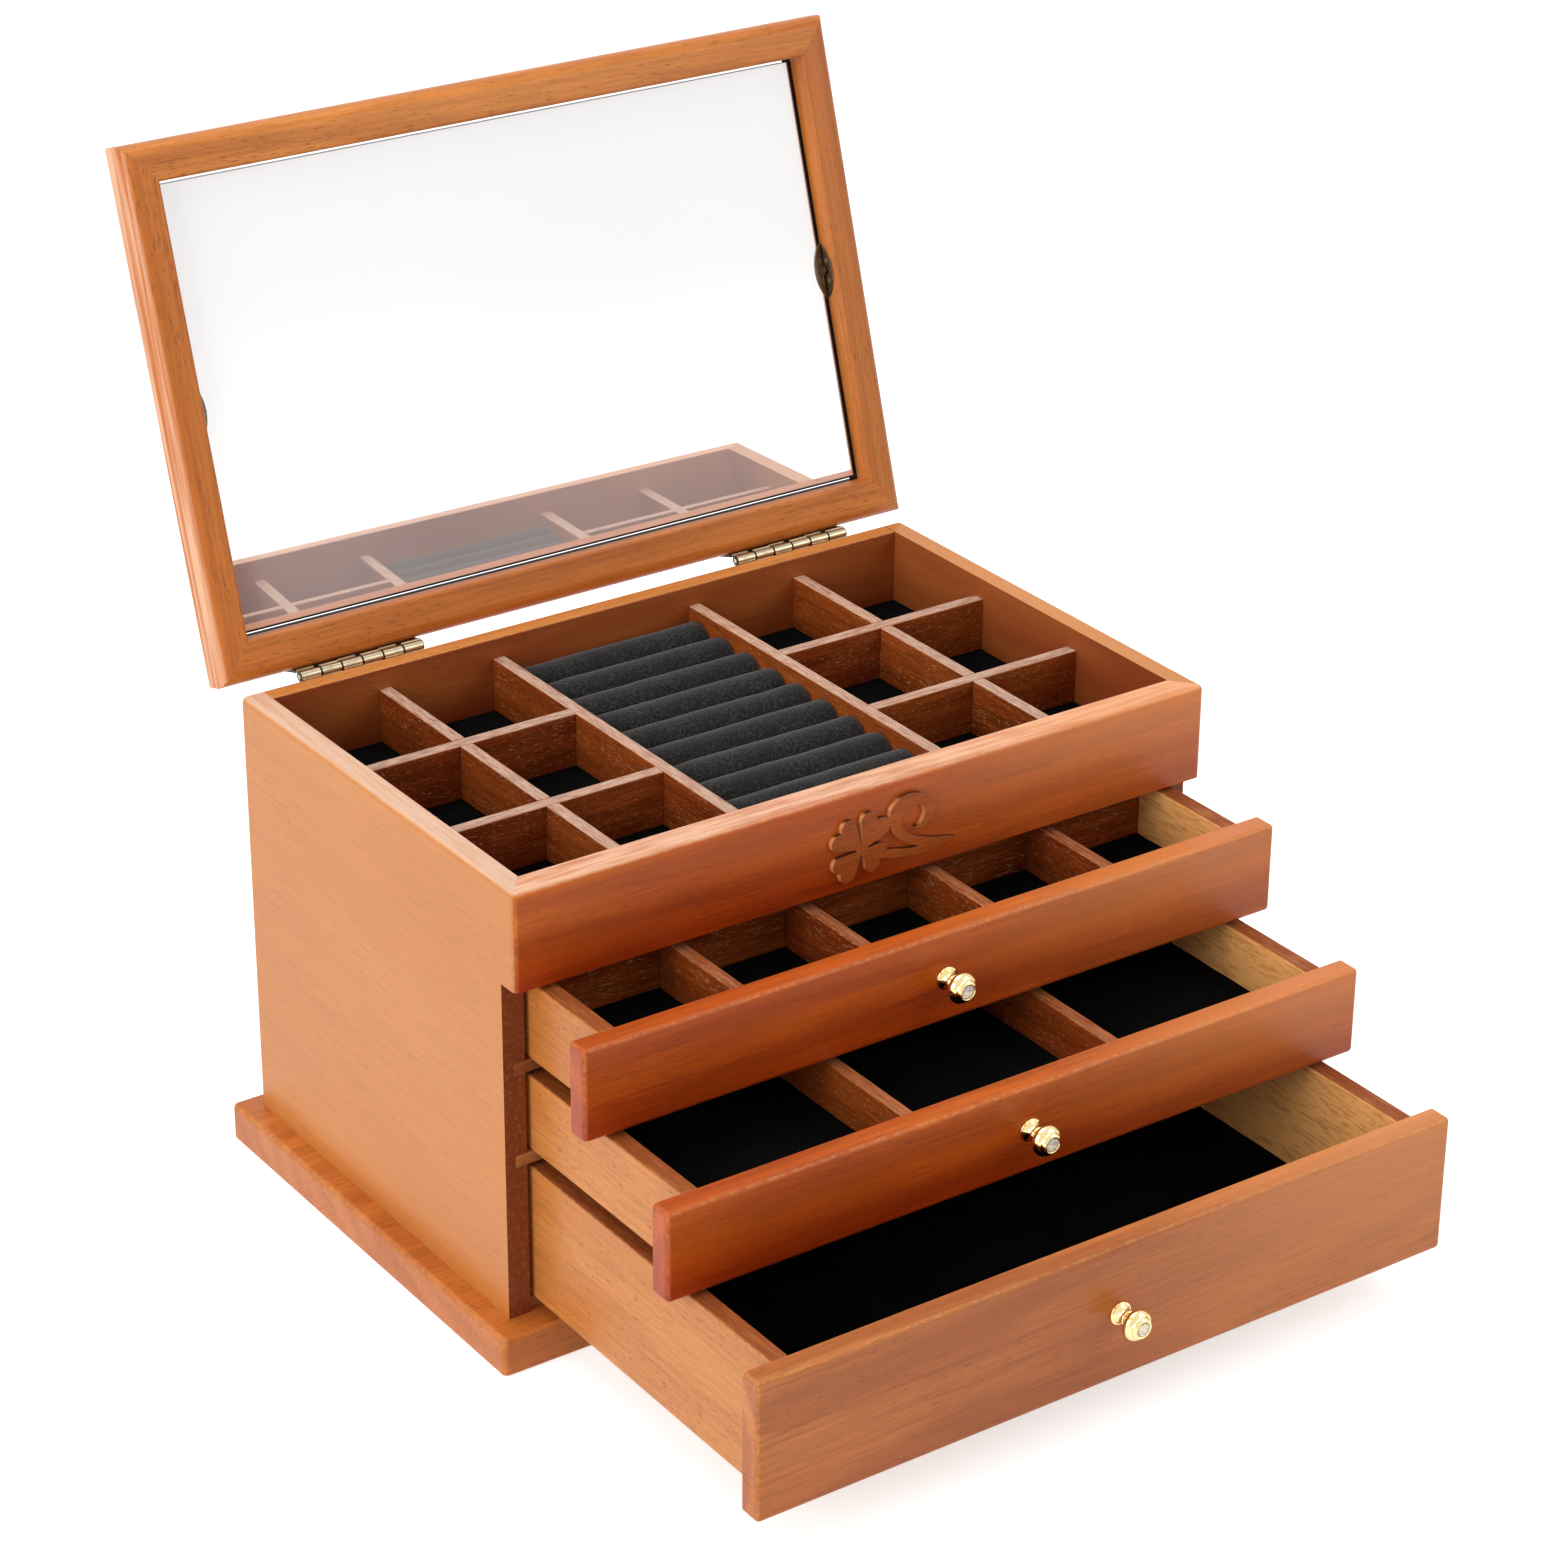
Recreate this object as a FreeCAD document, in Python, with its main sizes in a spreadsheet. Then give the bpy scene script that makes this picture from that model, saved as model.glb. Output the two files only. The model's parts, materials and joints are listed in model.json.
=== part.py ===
"""Wooden jewellery box: a divided tray under a mirrored lid, and three drawers.

Millimetres. X runs to the right, Y to the rear, Z up. The origin is the centre
of the base board's underside. The lid stands open and the drawers are drawn
out by different amounts, which are sizes of their own.
"""
import FreeCAD
import Part
import Sketcher
import math
import os

Vector = FreeCAD.Vector

SIZES = [
    ("base_thick", 14.7),
    ("base_ledge_side", 8.7),
    ("base_ledge_front", 10.7),
    ("base_ledge_rear", 7.2),
    ("base_round", 2.2),
    ("base_foot_round", 0.8),
    ("case_width", 290.0),
    ("case_depth", 175.5),
    ("side_thick", 8.6),
    ("back_thick", 8.3),
    ("case_round", 2.2),
    ("apron_high", 36.5),
    ("apron_proud", 8.8),
    ("apron_thick", 10.7),
    ("ornament_thick", 1.8),
    ("ornament_side", -6.5),
    ("leaf_reach", 14.4),
    ("leaf_lobe", 3.1),
    ("stem_long", 39.8),
    ("ornament_drop", 4.0),
    ("tray_deep", 28.5),
    ("tray_floor_thick", 4.0),
    ("lining_thick", 1.0),
    ("divider_thick", 5.0),
    ("divider_drop", 7.7),
    ("ring_section_wide", 81.0),
    ("halving_play", 0.1),
    ("roll_count", 10),
    ("roll_drop", 11.1),
    ("roll_gap", 0.2),
    ("shelf_thick", 4.5),
    ("dado_deep", 4.5),
    ("shelf_set_back", 2.0),
    ("upper_front_high", 34.3),
    ("middle_front_high", 33.5),
    ("lower_front_high", 52.8),
    ("front_gap", 2.0),
    ("toe_gap", 3.9),
    ("front_seat", 0.4),
    ("front_round", 1.8),
    ("drawer_side_thick", 6.8),
    ("drawer_back_thick", 6.8),
    ("drawer_side_play", 2.0),
    ("drawer_lift", 0.3),
    ("drawer_rear_play", 3.0),
    ("drawer_floor_thick", 3.0),
    ("drawer_floor_raise", 4.5),
    ("groove_deep", 3.0),
    ("drawer_divider_drop", 1.6),
    ("upper_row_deep", 45.5),
    ("upper_open", 41.6),
    ("middle_open", 89.7),
    ("lower_open", 140.5),
    ("knob_base_radius", 4.25),
    ("knob_head_radius", 5.7),
    ("knob_waist_radius", 2.1),
    ("knob_long", 12.8),
    ("knob_stud_radius", 1.6),
    ("knob_stud_long", 6.5),
    ("stone_radius", 2.5),
    ("stone_deep", 1.8),
    ("stone_proud", 0.9),
    ("pin_offset", 2.28),
    ("pin_radius", 0.9),
    ("pin_play", 0.05),
    ("barrel_radius", 1.93),
    ("hinge_long", 51.0),
    ("hinge_side", 94.4),
    ("knuckle_play", 0.15),
    ("leaf_plate_thick", 1.0),
    ("leaf_plate_high", 12.0),
    ("leaf_plate_play", 0.4),
    ("screw_head_radius", 2.0),
    ("screw_shank_radius", 0.9),
    ("screw_long", 6.5),
    ("screw_spread", 17.0),
    ("lid_side_over", 4.3),
    ("lid_length", 193.2),
    ("lid_thick", 15.9),
    ("lid_gap", 0.4),
    ("lid_round", 5.2),
    ("lid_inner_round", 1.2),
    ("lid_open_angle", 107.2),
    ("stile_wide", 13.0),
    ("rear_rail_wide", 15.0),
    ("front_rail_wide", 14.2),
    ("mirror_end_gap", 1.3),
    ("mirror_set_back", 0.75),
    ("glass_thick", 3.0),
    ("mirror_board_thick", 3.0),
    ("clip_sheet", 0.5),
    ("clip_high", 21.0),
    ("clip_deep", 3.2),
    ("clip_play", 0.35),
    ("ear_radius", 1.7),
    ("pivot_radius", 0.8),
    ("pivot_long", 3.5),
    ("pivot_plate_thick", 0.5),
    ("pivot_plate_high", 21.0),
    ("pivot_plate_wide", 10.0),
    ("tack_spread", 3.8),
    ("tack_set_forward", 1.6),
    ("tack_head_radius", 1.1),
    ("tack_shank_radius", 0.5),
    ("tack_long", 5.0),
]

doc = FreeCAD.newDocument("jewellery_box")
sheet = doc.addObject("Spreadsheet::Sheet", "sizes")


class Size:
    """A length that carries its value and the sheet expression it comes from."""

    def __init__(self, value, text):
        self.value = float(value)
        self.text = text

    @staticmethod
    def of(other):
        if isinstance(other, Size):
            return other
        return Size(other, repr(float(other)))

    def join(self, other, value, sign):
        return Size(value, "(" + self.text + " " + sign + " " + Size.of(other).text + ")")

    def __add__(self, other):
        return self.join(other, self.value + Size.of(other).value, "+")

    def __radd__(self, other):
        return Size.of(other) + self

    def __sub__(self, other):
        return self.join(other, self.value - Size.of(other).value, "-")

    def __rsub__(self, other):
        return Size.of(other) - self

    def __mul__(self, other):
        return self.join(other, self.value * Size.of(other).value, "*")

    def __rmul__(self, other):
        return Size.of(other) * self

    def __truediv__(self, other):
        return self.join(other, self.value / Size.of(other).value, "/")

    def __neg__(self):
        return Size(-self.value, "(-1 * " + self.text + ")")


class Named:
    """The driving sizes, each by its name."""


s = Named()
for row, (alias, value) in enumerate(SIZES, start=1):
    sheet.set("A" + str(row), alias.replace("_", " "))
    sheet.set("B" + str(row), str(value))
    sheet.setAlias("B" + str(row), alias)
    setattr(s, alias, Size(value, "sizes." + alias))
doc.recompute()

nodes = []


def node(obj, label):
    """Give a finished sub-part its name and list it for export."""
    for blank in doc.getObjectsByLabel(label):
        blank.Label = label + "_blank"
    obj.Label = label
    nodes.append(obj)
    return obj


def bind(obj, prop, size):
    obj.setExpression(prop, Size.of(size).text)


def place(obj, x=0, y=0, z=0):
    for axis, size in zip("xyz", (x, y, z)):
        bind(obj, "Placement.Base." + axis, size)


def block(name, x, y, z):
    """A board with square edges, from its lowest and highest X, Y and Z."""
    obj = doc.addObject("Part::Box", name)
    for prop, (low, high) in zip(("Length", "Width", "Height"), (x, y, z)):
        bind(obj, prop, Size.of(high) - low)
    place(obj, x[0], y[0], z[0])
    return obj


def rod(name, centre, radius, length, towards):
    """A round bar that starts at centre and runs towards one axis."""
    obj = doc.addObject("Part::Cylinder", name)
    bind(obj, "Radius", radius)
    bind(obj, "Height", length)
    obj.Placement.Rotation = FreeCAD.Rotation(Vector(0, 0, 1), Vector(*towards))
    place(obj, *centre)
    return obj


def cut(name, base, tools):
    """The base with every tool taken away."""
    result = base
    for number, tool in enumerate(tools):
        step = doc.addObject("Part::Cut", name + "_cut" + str(number))
        step.Base = result
        step.Tool = tool
        result = step
    return result


def fuse(name, pieces):
    obj = doc.addObject("Part::MultiFuse", name)
    obj.Shapes = pieces
    obj.Refine = True
    return obj


def group(name, pieces):
    """Like pieces that share one node, each still a solid of its own."""
    obj = doc.addObject("Part::Compound", name)
    obj.Links = pieces
    return obj


def origin_plane(body, role):
    for feature in body.Origin.OriginFeatures:
        if feature.Role == role:
            return feature
    raise ValueError("no plane " + role)


PLANES = {"XY": ("XY_Plane", 1), "XZ": ("XZ_Plane", -1), "YZ": ("YZ_Plane", 1)}


def sketch_on(body, plane, height):
    """A sketch on a body's own plane, moved to a height along the plane's axis."""
    role, sign = PLANES[plane]
    sketch = body.newObject("Sketcher::SketchObject", body.Name + "_sketch")
    sketch.AttachmentSupport = [(origin_plane(body, role), "")]
    sketch.MapMode = "FlatFace"
    bind(sketch, "AttachmentOffset.Base.z", Size.of(height) * sign)
    return sketch


def fix_point(sketch, line, end, across, up):
    for kind, size in (("DistanceX", Size.of(across)), ("DistanceY", Size.of(up))):
        index = sketch.addConstraint(Sketcher.Constraint(kind, -1, 1, line, end, size.value))
        sketch.setExpression("Constraints[" + str(index) + "]", size.text)


def draw_outline(sketch, corners):
    """A closed outline. A corner is (across, up), or (across, up, radius, side)
    where the way to it is an arc, with its bulge on the left (1) or right (-1)."""
    points = [Vector(Size.of(c[0]).value, Size.of(c[1]).value, 0) for c in corners]
    arcs = []
    ends = []
    for number, corner in enumerate(corners):
        start = points[number - 1]
        end = points[number]
        ends.append((1, 2))
        if len(corner) == 2:
            sketch.addGeometry(Part.LineSegment(start, end), False)
            continue
        radius = Size.of(corner[2]).value
        chord = end - start
        middle = (start + end) * 0.5
        left = Vector(-chord.y, chord.x, 0).normalize() * corner[3]
        sag = radius - math.sqrt(max(radius ** 2 - (chord.Length / 2) ** 2, 0))
        if corner[3] > 0:
            start, end = end, start
            ends[number] = (2, 1)
        arc = Part.Arc(start, middle + left * sag, end)
        arcs.append((sketch.addGeometry(arc, False), corner[2]))
    count = len(corners)
    for number in range(count):
        following = (number + 1) % count
        sketch.addConstraint(
            Sketcher.Constraint("Coincident", number, ends[number][1], following, ends[following][0]))
        fix_point(sketch, number, ends[number][1], corners[number][0], corners[number][1])
    for geometry, radius in arcs:
        size = Size.of(radius)
        index = sketch.addConstraint(Sketcher.Constraint("Radius", geometry, size.value))
        sketch.setExpression("Constraints[" + str(index) + "]", size.text)


def draw_circle(sketch, across, up, radius):
    sketch.addGeometry(Part.Circle(Vector(Size.of(across).value, Size.of(up).value, 0), Vector(0, 0, 1),
                                   Size.of(radius).value), False)
    fix_point(sketch, 0, 3, across, up)
    index = sketch.addConstraint(Sketcher.Constraint("Radius", 0, Size.of(radius).value))
    sketch.setExpression("Constraints[" + str(index) + "]", Size.of(radius).text)


def draw(sketch, shape):
    if shape[0] == "circle":
        draw_circle(sketch, *shape[1:])
    else:
        draw_outline(sketch, shape)


def prism(name, plane, shape, low, high, body=None):
    """An outline padded from low to high along the axis that the plane faces."""
    if body is None:
        body = doc.addObject("PartDesign::Body", name)
        body.AllowCompound = True
    sketch = sketch_on(body, plane, high if plane == "XZ" else low)
    draw(sketch, shape)
    pad = body.newObject("PartDesign::Pad", name + "_pad")
    pad.Profile = sketch
    bind(pad, "Length", Size.of(high) - low)
    body.Tip = pad
    return body


def pocket(body, plane, shape, low, high):
    """An outline cut out of a body from low to high; it has to remove something."""
    doc.recompute()
    before = body.Shape.Volume
    sketch = sketch_on(body, plane, low if plane == "XZ" else high)
    draw(sketch, shape)
    hole = body.newObject("PartDesign::Pocket", body.Name + "_pocket")
    hole.Profile = sketch
    bind(hole, "Length", Size.of(high) - low)
    body.Tip = hole
    doc.recompute()
    if not body.Shape.Volume < before - 1e-6:
        raise ValueError(body.Name + ": a pocket removed nothing")
    return body


def turned(name, profile, centre, towards=(0, -1, 0)):
    """A turned piece: a profile of (radius, length) corners spun about its length."""
    body = doc.addObject("PartDesign::Body", name)
    sketch = sketch_on(body, "XZ", 0)
    draw_outline(sketch, profile)
    spin = body.newObject("PartDesign::Revolution", name + "_spin")
    spin.Profile = sketch
    spin.ReferenceAxis = (sketch, ["V_Axis"])
    spin.Angle = 360
    body.Tip = spin
    body.Placement.Rotation = FreeCAD.Rotation(Vector(0, 0, 1), Vector(*towards))
    place(body, *centre)
    return body


def round_edges(body, radius, wanted):
    """Round the edges of a body whose bounding box passes the test."""
    doc.recompute()
    source = body.Tip
    names = []
    for number, edge in enumerate(source.Shape.Edges, start=1):
        if wanted(edge.BoundBox):
            names.append("Edge" + str(number))
    if not names:
        raise ValueError(body.Name + ": no edge to round")
    fillet = body.newObject("PartDesign::Fillet", body.Name + "_round")
    fillet.Base = (source, names)
    bind(fillet, "Radius", radius)
    body.Tip = fillet
    return body


def near(first, second):
    return abs(first - Size.of(second).value) < 1e-4


def flat_at(box, axis, size):
    """True for an edge that lies in the plane at this X, Y or Z."""
    return near(getattr(box, axis + "Min"), size) and near(getattr(box, axis + "Max"), size)


def rectangle(x, y):
    return [(x[0], y[0]), (x[1], y[0]), (x[1], y[1]), (x[0], y[1])]


def span(centre, width):
    return (Size.of(centre) - Size.of(width) / 2, Size.of(centre) + Size.of(width) / 2)


def both_sides(low, high):
    """The two mirrored X ranges of a left and a right piece."""
    return {"left": (-Size.of(high), -Size.of(low)), "right": (Size.of(low), Size.of(high))}


# Levels and faces that several pieces share
case_high = s.apron_high + s.front_gap * 3 + s.upper_front_high + s.middle_front_high
case_high = case_high + s.lower_front_high + s.toe_gap
rim = s.base_thick + case_high
apron_bottom = rim - s.apron_high
base_depth = s.base_ledge_front + s.case_depth + s.base_ledge_rear
case_front = s.base_ledge_front - base_depth / 2
case_rear = case_front + s.case_depth
apron_face = case_front - s.apron_proud
inner_front = apron_face + s.apron_thick
inner_rear = case_rear - s.back_thick
half_case = s.case_width / 2
half_inner = half_case - s.side_thick


# Base board: a plain board with rounded edges that the case stands on
base_x = span(0, s.case_width + s.base_ledge_side * 2)
base_y = span(0, base_depth)
base = prism("base_board", "XY", rectangle(base_x, base_y), 0, s.base_thick)
round_edges(base, s.base_round, lambda box: not flat_at(box, "Z", 0))
round_edges(base, s.base_foot_round, lambda box: flat_at(box, "Z", 0))
node(base, "base_board")


# Case walls: their outer edges are rounded together, as if sanded after gluing
hull = prism("case_hull", "XY", rectangle(span(0, s.case_width), (apron_face, case_rear)), s.base_thick, rim)
round_edges(hull, s.case_round, lambda box: not flat_at(box, "Z", s.base_thick))


def sanded(name, board):
    obj = doc.addObject("Part::Common", name)
    obj.Base = board
    obj.Tool = hull
    return obj


# Drawer shelves: thin boards let into the side panels, one under each drawer
upper_front_top = apron_bottom - s.front_gap
upper_front_bottom = upper_front_top - s.upper_front_high
middle_front_top = upper_front_bottom - s.front_gap
middle_front_bottom = middle_front_top - s.middle_front_high
lower_front_top = middle_front_bottom - s.front_gap
lower_front_bottom = lower_front_top - s.lower_front_high
shelf_x = span(0, (half_inner + s.dado_deep) * 2)
shelves = {}
for level, bottom in (("upper", upper_front_bottom), ("middle", middle_front_bottom)):
    shelves[level] = block("drawer_shelf_" + level, shelf_x, (case_front, inner_rear),
                           (bottom, bottom + s.shelf_thick))
shelves["lower"] = block("drawer_shelf_lower", shelf_x, (case_front + s.shelf_set_back, inner_rear),
                         (s.base_thick, s.base_thick + s.shelf_thick))
for level, shelf in shelves.items():
    node(shelf, "drawer_shelf_" + level)


# Side panels: they stand forward at tray level, where they meet the apron in a mitre
side_outline = [(case_front, s.base_thick), (case_rear, s.base_thick), (case_rear, rim), (apron_face, rim),
                (apron_face, apron_bottom), (case_front, apron_bottom)]
for side, sign in (("left", -1), ("right", 1)):
    low, high = both_sides(half_inner, half_case)[side]
    panel = prism("side_panel_" + side, "YZ", side_outline, low, high)
    mitre = [(half_inner * sign, inner_front), (half_inner * sign, apron_face), (half_case * sign, apron_face)]
    pocket(panel, "XY", mitre, apron_bottom, rim)
    housed = cut("side_panel_" + side, panel, list(shelves.values()))
    node(sanded("side_panel_" + side + "_sanded", housed), "side_panel_" + side)


# Apron: the front wall of the tray, mitred to the side panels
apron_outline = [(-half_case, apron_face), (half_case, apron_face), (half_inner, inner_front),
                 (-half_inner, inner_front)]
apron = prism("front_apron", "XY", apron_outline, apron_bottom, rim)
node(sanded("front_apron_sanded", apron), "front_apron")


# Tray floor and its black felt lining
tray_top = rim - s.tray_deep
tray_x = (-half_inner, half_inner)
tray_y = (inner_front, inner_rear)
lining_bottom = tray_top - s.lining_thick
node(block("tray_floor", tray_x, tray_y, (lining_bottom - s.tray_floor_thick, lining_bottom)), "tray_floor")
node(block("tray_lining", tray_x, tray_y, (lining_bottom, tray_top)), "tray_lining")


# Tray dividers: two long ones beside the ring rolls, and in each side section a
# column divider crossed by two short ones, halved over each other
divider_top = rim - s.divider_drop
divider_z = (tray_top, divider_top)
ring_half = s.ring_section_wide / 2
long_outer = ring_half + s.divider_thick
column_centre = (long_outer + half_inner) / 2
cell_deep = (inner_rear - inner_front - s.divider_thick * 2) / 3
cross_centres = [inner_front + (cell_deep + s.divider_thick) * number - s.divider_thick / 2 for number in (1, 2)]
halving = (tray_top + divider_top) / 2
slot_wide = s.divider_thick + s.halving_play * 2
for side, sign in (("left", -1), ("right", 1)):
    node(block("tray_long_divider_" + side, both_sides(ring_half, long_outer)[side], tray_y, divider_z),
         "tray_long_divider_" + side)
    column_x = span(column_centre * sign, s.divider_thick)
    upper_slots = [block("slot", span(column_centre * sign, slot_wide), span(centre, slot_wide),
                         (halving, divider_top)) for centre in cross_centres]
    column = block("tray_column_divider_" + side, column_x, tray_y, divider_z)
    node(cut("tray_column_divider_" + side, column, upper_slots), "tray_column_divider_" + side)
    crosses = []
    for number, centre in enumerate(cross_centres):
        cross = block("cross", both_sides(long_outer, half_inner)[side], span(centre, s.divider_thick), divider_z)
        lower_slot = block("slot", span(column_centre * sign, slot_wide), span(centre, slot_wide),
                           (tray_top, halving))
        crosses += [cut("cross_" + side + str(number), cross, [lower_slot])]
    node(group("tray_cross_dividers_" + side, crosses), "tray_cross_dividers_" + side)


# Ring rolls: velvet-covered foam rolls, laid side by side across the middle section
roll_pitch = (inner_rear - inner_front) / s.roll_count
roll_radius = (roll_pitch - s.roll_gap) / 2
roll_shoulder = rim - s.roll_drop - roll_radius
first_roll = inner_front + roll_pitch / 2
roll_outline = [(first_roll - roll_radius, tray_top), (first_roll + roll_radius, tray_top),
                (first_roll + roll_radius, roll_shoulder), (first_roll, roll_shoulder + roll_radius, roll_radius, -1),
                (first_roll - roll_radius, roll_shoulder, roll_radius, -1)]
rolls = prism("ring_rolls", "YZ", roll_outline, s.roll_gap - ring_half, ring_half - s.roll_gap)
row_of_rolls = rolls.newObject("PartDesign::LinearPattern", "row_of_rolls")
row_of_rolls.Originals = [rolls.Tip]
row_of_rolls.Direction = (origin_plane(rolls, "Y_Axis"), [""])
bind(row_of_rolls, "Length", roll_pitch * (s.roll_count - 1))
bind(row_of_rolls, "Occurrences", s.roll_count)
rolls.Tip = row_of_rolls
node(rolls, "ring_rolls")


# Hinges: the pin runs along X behind the rim. Six knuckles, shared by turns
pin_y = case_rear + s.pin_offset
knuckle_pitch = s.hinge_long / 6
bore_radius = s.pin_radius + s.pin_play


def hinge_leaf(name, centre, first, axis, plate_y, plate_z, screws):
    """One leaf: a plate with three knuckles, bored for the pin and drilled for screws."""
    start = Size.of(centre) - s.hinge_long / 2
    pieces = [block(name + "_plate", (start, start + s.hinge_long), plate_y, plate_z)]
    for number in (first, first + 2, first + 4):
        low = start + knuckle_pitch * number + s.knuckle_play
        long = knuckle_pitch - s.knuckle_play * 2
        pieces.append(rod(name + "_knuckle", (low, axis[0], axis[1]), s.barrel_radius, long, (1, 0, 0)))
        above = plate_z[1].value > axis[1].value
        tab_z = (axis[1] + s.lid_gap, plate_z[0]) if above else (plate_z[1], axis[1] - s.lid_gap)
        pieces.append(block(name + "_tab", (low, low + long), plate_y, tab_z))
    bore = rod(name + "_bore", (start, axis[0], axis[1]), bore_radius, s.hinge_long, (1, 0, 0))
    return cut(name, fuse(name + "_body", pieces), [bore, screws])


def wood_screw(name, centre, towards, head, shank, length):
    """A countersunk screw: the head's face is at centre and the point lies towards."""
    profile = [(0, 0), (head, 0), (shank, head - shank), (shank, length), (0, length)]
    return turned(name, profile, centre, towards)


def case_screws():
    screws = []
    for sign in (-1, 1):
        for step in (-1, 0, 1):
            x = (s.hinge_side * sign) + s.screw_spread * step
            z = rim - s.leaf_plate_high / 2 - s.barrel_radius / 2
            screws.append(wood_screw("case_screw", (x, case_rear + s.leaf_plate_thick, z), (0, -1, 0),
                                     s.screw_head_radius, s.screw_shank_radius, s.screw_long))
    return group("hinge_screws_case", screws)


case_screw_group = node(case_screws(), "hinge_screws_case")
case_plate_y = (case_rear, case_rear + s.leaf_plate_thick)
case_plate_z = (rim - s.leaf_plate_high, rim - s.barrel_radius - s.leaf_plate_play)
case_leaves = [hinge_leaf("case_leaf", s.hinge_side * sign, 0, (pin_y, rim), case_plate_y, case_plate_z,
                          case_screw_group) for sign in (-1, 1)]
node(group("hinge_leaves_case", case_leaves), "hinge_leaves_case")
pins = [rod("pin", (s.hinge_side * sign - s.hinge_long / 2, pin_y, rim), s.pin_radius, s.hinge_long, (1, 0, 0))
        for sign in (-1, 1)]
node(group("hinge_pins", pins), "hinge_pins")


# Back panel: between the side panels, drilled for the hinge screws
back = block("back_panel", tray_x, (inner_rear, case_rear), (s.base_thick, rim))
node(sanded("back_panel_sanded", cut("back_panel", back, [case_screw_group])), "back_panel")


# Lid: drawn shut, with its hinge pin at the origin, and then swung open about it
def open_lid(obj):
    obj.Placement = FreeCAD.Placement(Vector(0, pin_y.value, rim.value),
                                      FreeCAD.Rotation(Vector(-1, 0, 0), s.lid_open_angle.value))
    place(obj, 0, pin_y, rim)
    bind(obj, "Placement.Rotation.Angle", s.lid_open_angle)
    return obj


lid_half = half_case + s.lid_side_over
lid_rear = -s.pin_offset
lid_front = lid_rear - s.lid_length
lid_under = s.lid_gap
lid_top = lid_under + s.lid_thick
opening_half = lid_half - s.stile_wide
opening_rear = lid_rear - s.rear_rail_wide
opening_front = lid_front + s.front_rail_wide
pivot_y = (opening_rear + opening_front) / 2
pivot_z = (lid_under + lid_top) / 2

lid_screws = []
for sign in (-1, 1):
    for step in (-1, 0, 1):
        centre = (s.hinge_side * sign + s.screw_spread * step, lid_rear + s.leaf_plate_thick, pivot_z)
        lid_screws.append(wood_screw("lid_screw", centre, (0, -1, 0), s.screw_head_radius, s.screw_shank_radius,
                                     s.screw_long))
lid_screw_group = group("lid_screws", lid_screws)
node(open_lid(lid_screw_group), "hinge_screws_lid")


def lid_piece(name, outline, outer_axis, outer, inner):
    """One mitred bar of the lid, rounded along its outer and inner edges."""
    bar = prism(name, "XY", outline, lid_under, lid_top)

    def along(where):
        return lambda box: flat_at(box, outer_axis, where) and not near(box.ZMin - box.ZMax, -s.lid_thick)

    round_edges(bar, s.lid_round, along(outer))
    round_edges(bar, s.lid_inner_round, along(inner))
    return open_lid(bar)


corner = {"rear": (lid_half, lid_rear), "front": (lid_half, lid_front)}
inside = {"rear": (opening_half, opening_rear), "front": (opening_half, opening_front)}


def mirrored(point, sign):
    return (point[0] * sign, point[1])


for end in ("rear", "front"):
    outline = [mirrored(corner[end], -1), corner[end], inside[end], mirrored(inside[end], -1)]
    rail = lid_piece("lid_rail_" + end, outline, "Y", corner[end][1], inside[end][1])
    if end == "rear":
        rail = cut("lid_rail_rear", rail, [lid_screw_group])
    node(rail, "lid_rail_" + end)


# Mirror pivots: an oval plate tacked to each stile, with a hole for the clip's pin
def in_lid(name, pieces):
    return open_lid(group(name, pieces))


def tack(sign, step):
    where = (opening_half * sign - s.pivot_plate_thick * sign, pivot_y + s.tack_spread * step,
             pivot_z - s.tack_set_forward)
    return wood_screw("tack", where, (sign, 0, 0), s.tack_head_radius, s.tack_shank_radius, s.tack_long)


tacks = in_lid("pivot_tacks", [tack(sign, step) for sign in (-1, 1) for step in (-1, 1)])
node(tacks, "pivot_plate_screws")
pin_bores = in_lid("pivot_bores", [
    rod("pivot_bore", ((opening_half - s.stile_wide / 2) * sign, pivot_y, pivot_z), s.pivot_radius + s.pin_play,
        s.stile_wide, (sign, 0, 0)) for sign in (-1, 1)])

for side, sign in (("left", -1), ("right", 1)):
    outline = [mirrored(corner["front"], sign), mirrored(corner["rear"], sign), mirrored(inside["rear"], sign),
               mirrored(inside["front"], sign)]
    stile = lid_piece("lid_stile_" + side, outline, "X", lid_half * sign, opening_half * sign)
    node(cut("lid_stile_" + side, stile, [tacks, pin_bores]), "lid_stile_" + side)

plate_radius = (s.pivot_plate_high * s.pivot_plate_high / 4 + s.pivot_plate_wide * s.pivot_plate_wide / 4)
plate_radius = plate_radius / s.pivot_plate_wide
plate_ends = span(pivot_y, s.pivot_plate_high)
plate_outline = [(plate_ends[0], pivot_z, plate_radius, -1), (plate_ends[1], pivot_z, plate_radius, -1)]
plates = []
for side, sign in (("left", -1), ("right", 1)):
    plate_x = both_sides(opening_half - s.pivot_plate_thick, opening_half)[side]
    plates.append(prism("pivot_plate_" + side, "YZ", plate_outline, plate_x[0], plate_x[1]))
node(cut("pivot_plates", in_lid("pivot_plate_pair", plates), [tacks, pin_bores]), "mirror_pivot_plates")


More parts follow.
